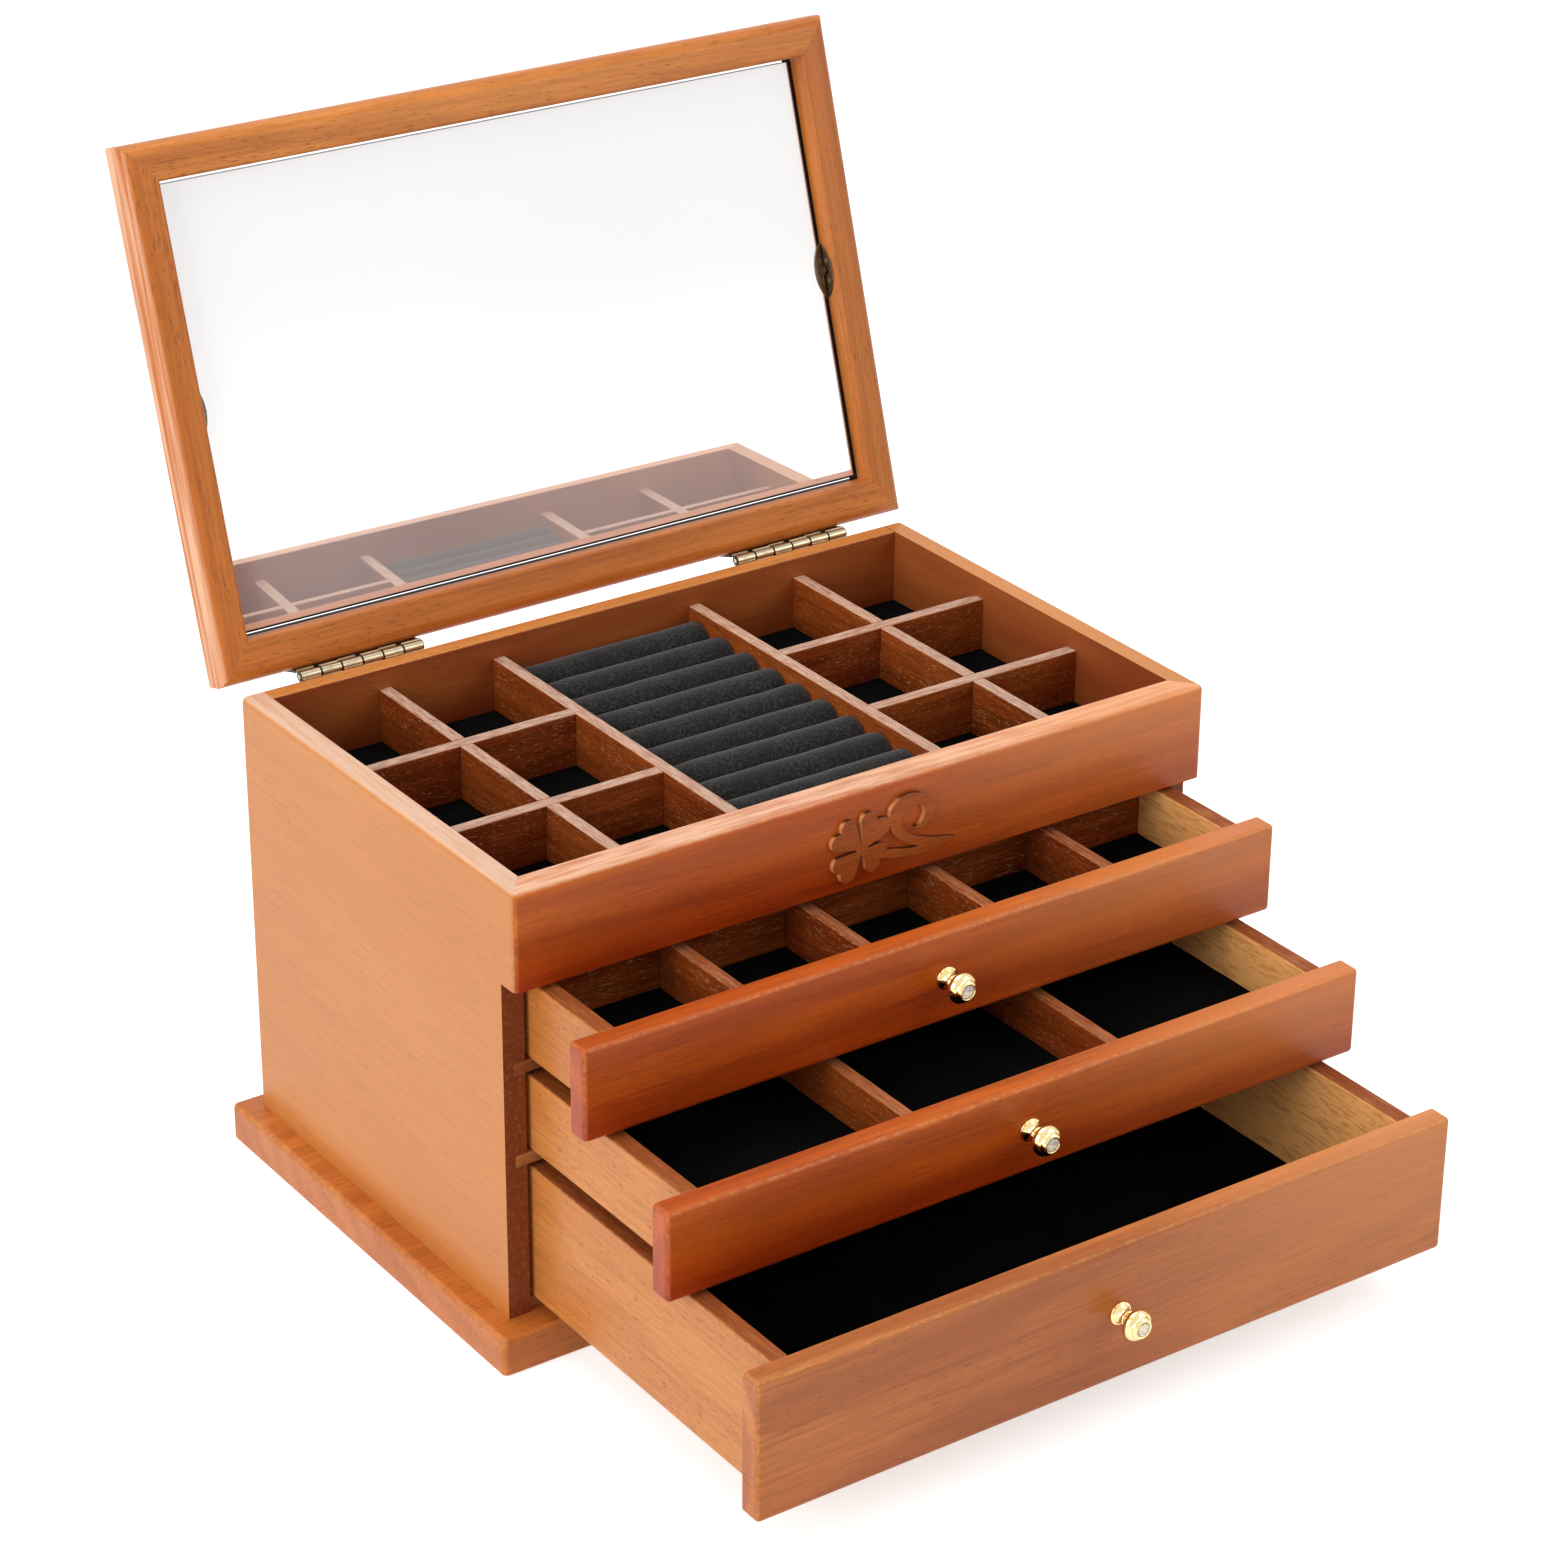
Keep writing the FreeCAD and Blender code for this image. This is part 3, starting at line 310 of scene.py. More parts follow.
def paint_shade_and_sheen(material, node, shade_depth):
    """Painted shade that darkens a front towards its lower edge, and painted sheen that lightens it towards
    its upper right.
    """
    tree = material.node_tree
    shader = tree.nodes["Principled BSDF"]
    split = new_node(tree, "ShaderNodeSeparateXYZ")
    tree.links.new(new_node(tree, "ShaderNodeTexCoord").outputs["Object"], split.inputs[0])
    low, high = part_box(node)
    lower_part = low.z + 0.75 * (high.z - low.z)
    lower_shade = spread(tree, split.outputs["Z"], lower_part, low.z, 0.0, shade_depth)
    above = spread(tree, split.outputs["Z"], low.z, high.z, 0.2, 1.0)
    # thin: how near the front's right end a point lies; there the painted sheen grows and the painted shade
    # lessens.
    thin = spread(tree, split.outputs["X"], SHEEN_FROM, SHEEN_TO)
    lower_shade = product(tree, lower_shade, work_out(tree, "SUBTRACT", 1.0, product(tree, thin, 0.6)))
    color = shader.inputs["Base Color"].links[0].from_socket
    color = blended(tree, lower_shade, color, PAINTED_SHADE_TONE, "MULTIPLY")
    color = blended(tree, product(tree, product(tree, thin, above), 0.42), color, PAINTED_SHEEN_TONE)
    tree.links.new(color, shader.inputs["Base Color"])
    return material


# APRON_RIM: the apron's top painted paler, partly bare wood and partly painted sheen from the light above.
APRON_RIM = ((0, 0, 1), (0.92, 0.60, 0.40), 0.8, (40, 500, 500), 0.3)
APRON_REAR = ((0, 1, 0), SHADED, 0.8, BROAD)
apron_wood = wood("apron_wood", "x", FRONT, 0.3, 0.3, faces=[APRON_REAR, APRON_RIM], gloss=0.28)
eased("front_apron", paint_shade_and_sheen(apron_wood, "front_apron", 1.0))
SHELF = ((0.52, 0.19, 0.06), (0.36, 0.11, 0.03), (0.2, 0.05, 0.014))
for level in ("upper", "middle", "lower"):
    eased("drawer_shelf_" + level, wood("shelf_wood_" + level, "x", SHELF, pores=0.5), 0.0003)


# Clover ornament: sawn from a thin board with a scroll saw and glued to the apron.
# Four heart leaves, and a stem that curls back over them.
CLOVER = ((0.50, 0.12, 0.018), (0.42, 0.085, 0.012), (0.25, 0.04, 0.006))
SAW_MARKS = (300, 900, 900)
# The cut edges that face left and down are painted pale, partly pale sawn wood and partly painted light from
# the left; the edges that face up are painted dark, as painted shadow.
CUT_EDGES_LIT_AND_SHADED = [(direction, (0.75, 0.36, 0.17), 1.0, SAW_MARKS) for direction in ((-1, 0, 0), (0, 0, -1))]
CUT_EDGES_LIT_AND_SHADED.append(((0.3, 0, 1), (0.10, 0.02, 0.004), 1.4, SAW_MARKS))
clover_wood = wood("clover_wood", "x", CLOVER, 0.5, 0.2, 0.0, faces=CUT_EDGES_LIT_AND_SHADED, streaks=0.2, worn=0.5)
eased("clover_ornament", clover_wood, 0.0002)


# Tray: a thin floor lined with black felt, parted by thin boards. The boards are
# left rougher than the outside, so that their open pores show.
INSIDE = ((0.38, 0.085, 0.012), (0.25, 0.042, 0.006), (0.10, 0.013, 0.002))
# Divider tops are painted paler: partly bare wood, partly painted sheen from the light above. The pale pore
# tone is dust and painted glints.
BARE_AND_SHEEN_TOP = ((0, 0, 1), (0.66, 0.45, 0.33), 0.85, (90, 600, 600), 0.3)
DUST_AND_GLINT_PORES = (0.62, 0.27, 0.11)
eased("tray_floor", wood("tray_floor_wood", "x", INSIDE), 0.0002)


def rough_board(name, along, top):
    """A thin board left rough, with pale dust and painted glints in its open pores, and its upper edge
    painted paler: partly bare wood, partly painted sheen from the light above.
    """
    return wood(name, along, INSIDE, pores=0.75, figure=0.2, coat=0.15, relief=0.8, faces=[top],
                streaks=0.35, pore_tone=DUST_AND_GLINT_PORES, fineness=1.6)


for side in ("left", "right"):
    for name, along in (("tray_long_divider_", "y"), ("tray_column_divider_", "y"),
                        ("tray_cross_dividers_", "x")):
        eased(name + side, rough_board(name + side + "_wood", along, BARE_AND_SHEEN_TOP), 0.0004)


def make_felt(name, tone, fibre, sheen, gloss):
    """Short fibres in two shades of one tone. The higher the fibre number, the finer they are."""
    material = bpy.data.materials.new(name)
    material.use_nodes = True
    tree = material.node_tree
    shader = tree.nodes["Principled BSDF"]
    place = new_node(tree, "ShaderNodeTexCoord").outputs["Object"]
    nap = noise(tree, place, (fibre, fibre, fibre), 3.0, 0.7)
    patches = noise(tree, place, (60, 60, 60), 2.0)
    amount = product(tree, spread(tree, nap, 0.42, 0.64), spread(tree, patches, 0.3, 0.7, 0.5, 1.0))
    dark = tuple(value * 0.45 for value in tone)
    pale = tuple(value * 2.4 for value in tone)
    tree.links.new(blended(tree, amount, dark, pale), shader.inputs["Base Color"])
    bump = new_node(tree, "ShaderNodeBump")
    bump.inputs["Strength"].default_value = 0.6
    bump.inputs["Distance"].default_value = 0.0003
    tree.links.new(nap, bump.inputs["Height"])
    tree.links.new(bump.outputs[0], shader.inputs["Normal"])
    shader.inputs["Roughness"].default_value = 1.0
    shader.inputs["Specular IOR Level"].default_value = gloss
    shader.inputs["Sheen Weight"].default_value = sheen
    shader.inputs["Sheen Roughness"].default_value = 0.5
    return material


FELT = make_felt("black_felt", (0.005, 0.005, 0.005), 2600, 0.01, 0.0)


def sunk(x, y):
    """How far the felt lies below its full thickness at one place."""
    return 0.00006 * (2 + math.sin(x * 260 + y * 95) + math.sin(y * 310 - x * 120))


def line_with_felt(node, body):
    """A sheet of felt, a millimetre thick, that lies a little unevenly on its board."""
    low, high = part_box(node)
    columns, rows = 96, 64
    shape = bmesh.new()
    layers = []
    for level in (high.z, low.z):
        grid = []
        for row in range(rows + 1):
            for column in range(columns + 1):
                x = low.x + (high.x - low.x) * column / columns
                y = low.y + (high.y - low.y) * row / rows
                z = level - sunk(x, y) if level == high.z else level
                grid.append(shape.verts.new((x, y, z)))
        layers.append(grid)
    for row in range(rows):
        for column in range(columns):
            a = row * (columns + 1) + column
            corners = (a, a + 1, a + columns + 2, a + columns + 1)
            for grid in layers:
                shape.faces.new([grid[number] for number in corners])
    rim = list(range(columns))
    rim += [columns + row * (columns + 1) for row in range(rows)]
    rim += [(rows + 1) * (columns + 1) - 1 - column for column in range(columns)]
    rim += [(rows - row) * (columns + 1) for row in range(rows)]
    for a, b in zip(rim, rim[1:] + rim[:1]):
        shape.faces.new((layers[0][a], layers[1][a], layers[1][b], layers[0][b]))
    bmesh.ops.recalc_face_normals(shape, faces=shape.faces)
    mesh = bpy.data.meshes.new(node + "_felt")
    shape.to_mesh(mesh)
    shape.free()
    piece = bpy.data.objects.new(node + "_felt", mesh)
    bpy.context.collection.objects.link(piece)
    finish_with(piece, FELT)
    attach(piece, body)
    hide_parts(node)


line_with_felt("tray_lining", "case")


# Ring rolls: ten rolls of foam covered with black velvet, pushed side by side into
# the middle of the tray. Each has a round top, and rings are held between them.
ROLLS = 10
ROLL_GAP = 0.0002
rolls_low, rolls_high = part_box("ring_rolls")
roll_pitch = (rolls_high.y - rolls_low.y + ROLL_GAP) / ROLLS
roll_radius = (roll_pitch - ROLL_GAP) / 2


def roll_mesh():
    """One roll along X: straight sides, a round top, and ends that turn in softly."""
    shape = bmesh.new()
    half = (rolls_high.x - rolls_low.x) / 2
    foot = 0.004
    shoulder = rolls_high.z - rolls_low.z - roll_radius
    outline = [(-roll_radius, 0.0), (-roll_radius, foot)]
    for step in range(17):
        turn = math.pi * step / 16
        outline.append((-roll_radius * math.cos(turn), shoulder + roll_radius * math.sin(turn)))
    outline += [(roll_radius, foot), (roll_radius, 0.0)]
    soft_end = 0.0015
    ends = ((0.0, 0.93), (0.0005, 0.975), (soft_end, 1.0))
    stations = [(-half + inset, grow) for inset, grow in ends]
    stations += [(-half + soft_end + 2 * (half - soft_end) * step / 24, 1.0) for step in range(1, 24)]
    stations += [(half - inset, grow) for inset, grow in reversed(ends)]
    rings = [[shape.verts.new((x, y * grow, z * grow)) for y, z in outline] for x, grow in stations]
    for first, second in zip(rings, rings[1:]):
        for a in range(len(outline)):
            b = (a + 1) % len(outline)
            shape.faces.new((first[a], second[a], second[b], first[b]))
    shape.faces.new(rings[0])
    shape.faces.new(list(reversed(rings[-1])))
    bmesh.ops.recalc_face_normals(shape, faces=shape.faces)
    mesh = bpy.data.meshes.new("roll")
    shape.to_mesh(mesh)
    shape.free()
    return mesh


def geometry_tree(name, inputs):
    """An empty geometry tree with these named inputs, and its two end nodes."""
    tree = bpy.data.node_groups.new(name, "GeometryNodeTree")
    tree.is_modifier = True
    tree.interface.new_socket("Geometry", in_out="INPUT", socket_type="NodeSocketGeometry")
    for label, kind in inputs:
        tree.interface.new_socket(label, in_out="INPUT", socket_type=kind)
    tree.interface.new_socket("Geometry", in_out="OUTPUT", socket_type="NodeSocketGeometry")
    return tree, new_node(tree, "NodeGroupInput"), new_node(tree, "NodeGroupOutput")


def grow(name, mesh, tree, values):
    """Run a geometry tree on a mesh, and keep the result as a plain mesh."""
    source = bpy.data.objects.new(name, mesh)
    bpy.context.collection.objects.link(source)
    modifier = source.modifiers.new(tree.name, "NODES")
    modifier.node_group = tree
    for item in tree.interface.items_tree:
        if item.item_type == "SOCKET" and item.in_out == "INPUT" and item.name in values:
            modifier[item.identifier] = values[item.name]
    bpy.context.view_layer.update()
    made = bpy.data.meshes.new_from_object(source.evaluated_get(bpy.context.evaluated_depsgraph_get()))
    source.modifiers.remove(modifier)
    source.data = made
    return source


def rolls_tree():
    """Rolls side by side along Y, with the upper part of the velvet drawn down a little unevenly."""
    tree, given, put = geometry_tree("row_of_rolls", (
        ("Count", "NodeSocketInt"), ("Pitch", "NodeSocketFloat"), ("Unevenness", "NodeSocketFloat"),
        ("Seed", "NodeSocketFloat"), ("Cover", "NodeSocketMaterial")))
    offset = new_node(tree, "ShaderNodeCombineXYZ")
    tree.links.new(given.outputs["Pitch"], offset.inputs["Y"])
    line = new_node(tree, "GeometryNodeMeshLine")
    tree.links.new(given.outputs["Count"], line.inputs["Count"])
    tree.links.new(offset.outputs[0], line.inputs["Offset"])
    copies = new_node(tree, "GeometryNodeInstanceOnPoints")
    tree.links.new(line.outputs[0], copies.inputs["Points"])
    tree.links.new(given.outputs["Geometry"], copies.inputs["Instance"])
    real = new_node(tree, "GeometryNodeRealizeInstances")
    tree.links.new(copies.outputs[0], real.inputs[0])
    where = new_node(tree, "GeometryNodeInputPosition")
    bumps = new_node(tree, "ShaderNodeTexNoise", noise_dimensions="4D")
    tree.links.new(where.outputs[0], bumps.inputs["Vector"])
    tree.links.new(given.outputs["Seed"], bumps.inputs["W"])
    bumps.inputs["Scale"].default_value = 60.0
    bumps.inputs["Detail"].default_value = 2.0
    below = work_out(tree, "SUBTRACT", bumps.outputs["Fac"], 0.75)
    drop = product(tree, below, given.outputs["Unevenness"])
    height = new_node(tree, "ShaderNodeSeparateXYZ")
    tree.links.new(where.outputs[0], height.inputs[0])
    upper = spread(tree, height.outputs["Z"], 0.006, 0.012)
    move = new_node(tree, "ShaderNodeCombineXYZ")
    tree.links.new(product(tree, drop, upper), move.inputs["Z"])
    shift = new_node(tree, "GeometryNodeSetPosition")
    tree.links.new(real.outputs[0], shift.inputs["Geometry"])
    tree.links.new(move.outputs[0], shift.inputs["Offset"])
    cover = new_node(tree, "GeometryNodeSetMaterial")
    tree.links.new(shift.outputs[0], cover.inputs["Geometry"])
    tree.links.new(given.outputs["Cover"], cover.inputs["Material"])
    tree.links.new(cover.outputs[0], put.inputs[0])
    return tree


VELVET = make_felt("black_velvet", (0.017, 0.0165, 0.0155), 1000, 0.2, 0.1)
in_the_tray = {"Count": ROLLS, "Pitch": roll_pitch, "Unevenness": 0.0012, "Seed": 4.0, "Cover": VELVET}
rolls = grow("velvet_rolls", roll_mesh(), rolls_tree(), in_the_tray)
first_roll = ((rolls_low.x + rolls_high.x) / 2, rolls_low.y + roll_radius, rolls_low.z)
rolls.data.transform(Matrix.Translation(first_roll))
rolls.data.shade_smooth()
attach(rolls, "case")
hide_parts("ring_rolls")


# Drawers: a lacquered front with eased edges that laps over the case, and a box of plain boards grooved for
# a felt-lined bottom. The inner faces of the right sides are painted paler, partly wood that took less stain
# and partly painted light from the left; the inner faces of the left sides and of the backs carry painted
# shade.
PALE = ((0.92, 0.56, 0.22), (0.78, 0.43, 0.14), (0.5, 0.23, 0.06))
# WORN_AND_SHEEN_TOP: the drawer dividers' tops painted paler, partly wear and partly painted sheen from the
# light above.
WORN_AND_SHEEN_TOP = ((0, 0, 1), (0.52, 0.22, 0.10), 0.5, (60, 500, 500), 0.2)
PALE_AND_LIT_SIDE = ((-1, 0, 0), (1.0, 0.50, 0.16), 1.3, (150, 420, 900), 0.35)
RED_TOP = ((0, 0, 1), (0.30, 0.07, 0.014), 1.1, FINE)
SHADED_SIDE = ((1, 0, 0), SHADED, 0.7, BROAD)
SHADED_BACK = ((0, -1, 0), SHADED, 0.5, BROAD)
for level in ("upper", "middle", "lower"):
    name = "drawer_" + level
    tones, figure = (LOWER_FRONT, 0.55) if level == "lower" else (FRONT, 0.35)
    front_wood = wood(name + "_front_wood", "x", tones, 0.3, figure, faces=[((0, 1, 0), SHADED, 0.6, BROAD)],
                      gloss=0.28)
    eased(name + "_front", paint_shade_and_sheen(front_wood, name + "_front", 0.1 if level == "lower" else 0.9))
    left_wood = wood(name + "_left_wood", "y", SIDE, 0.35, 0.3, faces=[SHADED_SIDE, RED_TOP])
    eased(name + "_side_left", left_wood, 0.0006)
    right_wood = wood(name + "_right_wood", "y", SIDE, 0.9, 0.4, relief=0.6, faces=[PALE_AND_LIT_SIDE, RED_TOP],
                      streaks=0.25)
    eased(name + "_side_right", right_wood, 0.0006)
    eased(name + "_back", wood(name + "_back_wood", "x", INSIDE, pores=0.5, faces=[SHADED_BACK]), 0.0006)
    eased(name + "_bottom", wood(name + "_bottom_wood", "x", PALE), 0.0002)
    line_with_felt(name + "_lining", name)
eased("drawer_upper_dividers", rough_board("upper_divider_wood", "y", WORN_AND_SHEEN_TOP), 0.0004)
eased("drawer_upper_partition", rough_board("partition_wood", "x", WORN_AND_SHEEN_TOP), 0.0004)
eased("drawer_middle_dividers", rough_board("middle_divider_wood", "y", WORN_AND_SHEEN_TOP), 0.0004)


# Knobs: one on the middle of each front, turned from brass and polished, with a
# flared foot, a bead at the neck and a ball head that holds a cut clear stone.
def metal(name, tone, roughness, grime=0.0):
    """Turned or stamped metal. Grime makes its stains darker and duller."""
    material = bpy.data.materials.new(name)
    material.use_nodes = True
    tree = material.node_tree
    shader = tree.nodes["Principled BSDF"]
    place = new_node(tree, "ShaderNodeTexCoord").outputs["Object"]
    stains = spread(tree, noise(tree, place, (260, 260, 260), 3.0, 0.5), 0.4, 0.8)
    fine = noise(tree, place, (3000, 3000, 3000), 2.0)
    dirty = tuple(value * (1 - grime) for value in tone)
    tree.links.new(blended(tree, stains, tone, dirty), shader.inputs["Base Color"])
    rough = spread(tree, stains, 0.0, 1.0, roughness, roughness + 0.1 + grime * 0.3)
    tree.links.new(rough, shader.inputs["Roughness"])
    bump = new_node(tree, "ShaderNodeBump")
    bump.inputs["Strength"].default_value = 0.05 + grime * 0.1
    bump.inputs["Distance"].default_value = 0.000004
    tree.links.new(fine, bump.inputs["Height"])
    tree.links.new(bump.outputs[0], shader.inputs["Normal"])
    shader.inputs["Metallic"].default_value = 1.0
    return material


POLISHED = metal("polished_brass", (0.93, 0.74, 0.36), 0.05)
CLEAR = bpy.data.materials.new("clear_stone")
CLEAR.use_nodes = True
stone_shader = CLEAR.node_tree.nodes["Principled BSDF"]
stone_shader.inputs["Base Color"].default_value = (0.96, 0.96, 0.98, 1)
stone_shader.inputs["Roughness"].default_value = 0.02
stone_shader.inputs["IOR"].default_value = 1.6
stone_shader.inputs["Transmission Weight"].default_value = 0.6

# Radius and length, in millimetres: flared foot, stem, bead, neck, ball head, rim and seat of the stone.
KNOB_PROFILE = [
    (0.0, 0.0), (4.15, 0.0), (4.25, 0.15), (4.25, 0.75), (4.1, 0.95), (3.6, 1.05), (3.45, 1.3),
    (3.0, 1.75), (2.5, 2.4), (2.2, 3.1), (2.1, 3.7),
    (2.2, 3.85), (2.65, 4.0), (2.95, 4.35), (2.95, 4.75), (2.65, 5.05), (2.2, 5.2),
    (2.15, 5.45), (2.6, 5.65), (3.3, 5.85), (3.5, 6.15), (3.35, 6.4),
    (3.9, 6.6), (4.8, 7.2), (5.4, 8.0), (5.68, 8.9), (5.6, 9.7), (5.2, 10.5), (4.55, 11.15),
    (4.2, 11.35), (4.1, 11.5), (4.05, 11.85), (3.7, 12.3), (3.35, 12.6), (3.1, 12.8), (2.75, 12.75),
    (2.6, 12.5), (2.55, 12.0), (0.0, 11.6)]


def softened(profile):
    """The profile with every run cut in two, and its corners drawn in a little."""
    points = [profile[0]]
    for first, second in zip(profile, profile[1:]):
        points.append(((first[0] + second[0]) / 2, (first[1] + second[1]) / 2))
        points.append(second)
    eased_points = [points[0]]
    for before, here, after in zip(points, points[1:], points[2:]):
        drawn_in = [0.25 * before[axis] + 0.5 * here[axis] + 0.25 * after[axis] for axis in (0, 1)]
        eased_points.append(tuple(drawn_in))
    return eased_points + [points[-1]]


def lathe(profile, steps, sharp=False):
    """Spin (radius, length) points, in millimetres, about -Y. A sharp profile keeps its corners."""
    shape = bmesh.new()
    profile = profile if sharp else softened(profile)
    poles = [shape.verts.new((0, -profile[0][1] / 1000, 0)), shape.verts.new((0, -profile[-1][1] / 1000, 0))]
    turns = [2 * math.pi * step / steps for step in range(steps)]
    rings = []
    for radius, along in profile[1:-1]:
        circle = [(radius / 1000 * math.cos(turn), radius / 1000 * math.sin(turn)) for turn in turns]
        rings.append([shape.verts.new((x, -along / 1000, z)) for x, z in circle])
    for step in range(steps):
        after = (step + 1) % steps
        shape.faces.new((poles[0], rings[0][step], rings[0][after]))
        shape.faces.new((poles[1], rings[-1][after], rings[-1][step]))
        for first, second in zip(rings, rings[1:]):
            shape.faces.new((first[step], second[step], second[after], first[after]))
    bmesh.ops.recalc_face_normals(shape, faces=shape.faces)
    mesh = bpy.data.meshes.new("turned")
    shape.to_mesh(mesh)
    shape.free()
    if not sharp:
        mesh.shade_smooth()
        mesh.set_sharp_from_angle(angle=math.radians(42))
    return mesh


STONE_PROFILE = [(0.0, 10.9), (2.45, 12.35), (2.5, 12.75), (1.5, 13.6), (0.0, 13.7)]
for level in ("upper", "middle", "lower"):
    name = "drawer_" + level
    low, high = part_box(name + "_front")
    centre = Vector(((low.x + high.x) / 2, low.y, (low.z + high.z) / 2))
    for part, mesh, material in (("_knob", lathe(KNOB_PROFILE, 72), POLISHED),
                                 ("_knob_stone", lathe(STONE_PROFILE, 8, sharp=True), CLEAR)):
        mesh.transform(Matrix.Translation(centre))
        piece = bpy.data.objects.new(name + part + "_turned", mesh)
        bpy.context.collection.objects.link(piece)
        finish_with(piece, material)
        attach(piece, name)
        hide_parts(name + part)


# Hinges: two butt hinges of antique brass, with six rolled knuckles each, a brass
# pin, and countersunk cross-head screws into the back panel and the lid's rear rail.
ANTIQUE = metal("antique_brass", (0.50, 0.41, 0.28), 0.22, 0.25)
HINGE_SIDE = 0.0944
HINGE_LONG = 0.051
KNUCKLE = HINGE_LONG / 6


def shade_knuckle_gaps(material):
    """Painted shade: dark lines across the barrels, where one knuckle ends and the next begins."""
    tree = material.node_tree
    shader = tree.nodes["Principled BSDF"]
    split = new_node(tree, "ShaderNodeSeparateXYZ")
    tree.links.new(new_node(tree, "ShaderNodeTexCoord").outputs["Object"], split.inputs[0])
    from_middle = work_out(tree, "ABSOLUTE", split.outputs["X"], 0.0)
    along = work_out(tree, "SUBTRACT", from_middle, HINGE_SIDE - HINGE_LONG / 2)
    knuckles = work_out(tree, "ADD", work_out(tree, "DIVIDE", along, KNUCKLE), 0.5)
    within = work_out(tree, "FRACT", knuckles, 0.0)
    off = work_out(tree, "ABSOLUTE", work_out(tree, "SUBTRACT", within, 0.5), 0.0)
    brass = shader.inputs["Base Color"].links[0].from_socket
    color = blended(tree, spread(tree, off, 0.03, 0.06), (0.015, 0.010, 0.006), brass)
    tree.links.new(color, shader.inputs["Base Color"])
    return material


GAPPED = shade_knuckle_gaps(metal("knuckled_brass", (0.50, 0.41, 0.28), 0.22, 0.25))
for name in ("hinge_leaves_case", "hinge_leaves_lid"):
    eased(name, GAPPED, 0.00012)
finish_with(frame["nodes"]["hinge_pins"], ANTIQUE)


def screw_mesh(head, shank, length):
    """A countersunk screw with a cross in its head. It points along +Z, its head's face is at 0."""
    shape = bmesh.new()
    steps = 24
    turns = [2 * math.pi * step / steps for step in range(steps)]

    def ring(radius, depth):
        return [shape.verts.new((radius * math.cos(turn), radius * math.sin(turn), depth)) for turn in turns]

    def loop(verts):
        return [shape.edges.new((a, b)) for a, b in zip(verts, verts[1:] + verts[:1])]

    rings = [ring(head * 0.94, 0.0), ring(head, head * 0.06), ring(shank, head - shank),
             ring(shank, length - shank * 2), ring(shank * 0.1, length)]
    wide, long = head * 0.13, head * 0.55
    cross = [(long, -wide), (long, wide), (wide, wide), (wide, long), (-wide, long), (-wide, wide),
             (-long, wide), (-long, -wide), (-wide, -wide), (-wide, -long), (wide, -long), (wide, -wide)]
    upper = [shape.verts.new((x, y, 0.0)) for x, y in cross]
    lower = [shape.verts.new((x * 0.8, y * 0.8, head * 0.35)) for x, y in cross]
    bmesh.ops.triangle_fill(shape, use_beauty=True, edges=loop(rings[0]) + loop(upper))
    for first, second in list(zip(rings, rings[1:])) + [(upper, lower)]:
        for a in range(len(first)):
            b = (a + 1) % len(first)
            shape.faces.new((first[a], first[b], second[b], second[a]))
    shape.faces.new(lower)
    shape.faces.new(rings[-1])
    bmesh.ops.recalc_face_normals(shape, faces=shape.faces)
    mesh = bpy.data.meshes.new("screw")
    shape.to_mesh(mesh)
    shape.free()
    return mesh


def screws_tree():
    """One screw at each point, aimed as the point says, and turned about itself at random."""
    tree, given, put = geometry_tree("screws_in_place", (
        ("Screw", "NodeSocketObject"), ("Turn Seed", "NodeSocketInt"), ("Metal", "NodeSocketMaterial")))
    screw = new_node(tree, "GeometryNodeObjectInfo")
    tree.links.new(given.outputs["Screw"], screw.inputs["Object"])
    aim = new_node(tree, "GeometryNodeInputNamedAttribute", data_type="FLOAT_VECTOR")
    aim.inputs["Name"].default_value = "aim"
    aimed = new_node(tree, "FunctionNodeEulerToRotation")
    tree.links.new(aim.outputs["Attribute"], aimed.inputs[0])
    turn = new_node(tree, "FunctionNodeRandomValue", data_type="FLOAT")
    most = turn.inputs[3]
    most.default_value = 6.28
    tree.links.new(given.outputs["Turn Seed"], turn.inputs["Seed"])
    about = new_node(tree, "ShaderNodeCombineXYZ")
    tree.links.new(turn.outputs[1], about.inputs["Z"])
    spun = new_node(tree, "FunctionNodeEulerToRotation")
    tree.links.new(about.outputs[0], spun.inputs[0])
    both = new_node(tree, "FunctionNodeRotateRotation", rotation_space="LOCAL")
    tree.links.new(aimed.outputs[0], both.inputs[0])
    tree.links.new(spun.outputs[0], both.inputs[1])
    copies = new_node(tree, "GeometryNodeInstanceOnPoints")
    tree.links.new(given.outputs["Geometry"], copies.inputs["Points"])
    tree.links.new(screw.outputs["Geometry"], copies.inputs["Instance"])
    tree.links.new(both.outputs[0], copies.inputs["Rotation"])
    real = new_node(tree, "GeometryNodeRealizeInstances")
    tree.links.new(copies.outputs[0], real.inputs[0])
    cover = new_node(tree, "GeometryNodeSetMaterial")
    tree.links.new(real.outputs[0], cover.inputs["Geometry"])
    tree.links.new(given.outputs["Metal"], cover.inputs["Material"])
    tree.links.new(cover.outputs[0], put.inputs[0])
    return tree


SCREWS = screws_tree()
# The face of a screw's head holds the points that lie no deeper than this.
HEAD_FACE = 2e-5


def screws_in(node):
    """The points of each screw in a CAD node that holds several."""
    shape = bmesh.new()
    shape.from_mesh(frame["nodes"][node].data)
    bmesh.ops.remove_doubles(shape, verts=shape.verts, dist=WELD)
    left = set(shape.verts)
    screws = []
    while left:
        found, reached = [], [left.pop()]
        while reached:
            vert = reached.pop()
            found.append(vert.co.copy())
            for line in vert.link_edges:
                other = line.other_vert(vert)
                if other in left:
                    left.remove(other)
                    reached.append(other)
        screws.append(found)
    shape.free()
    return screws


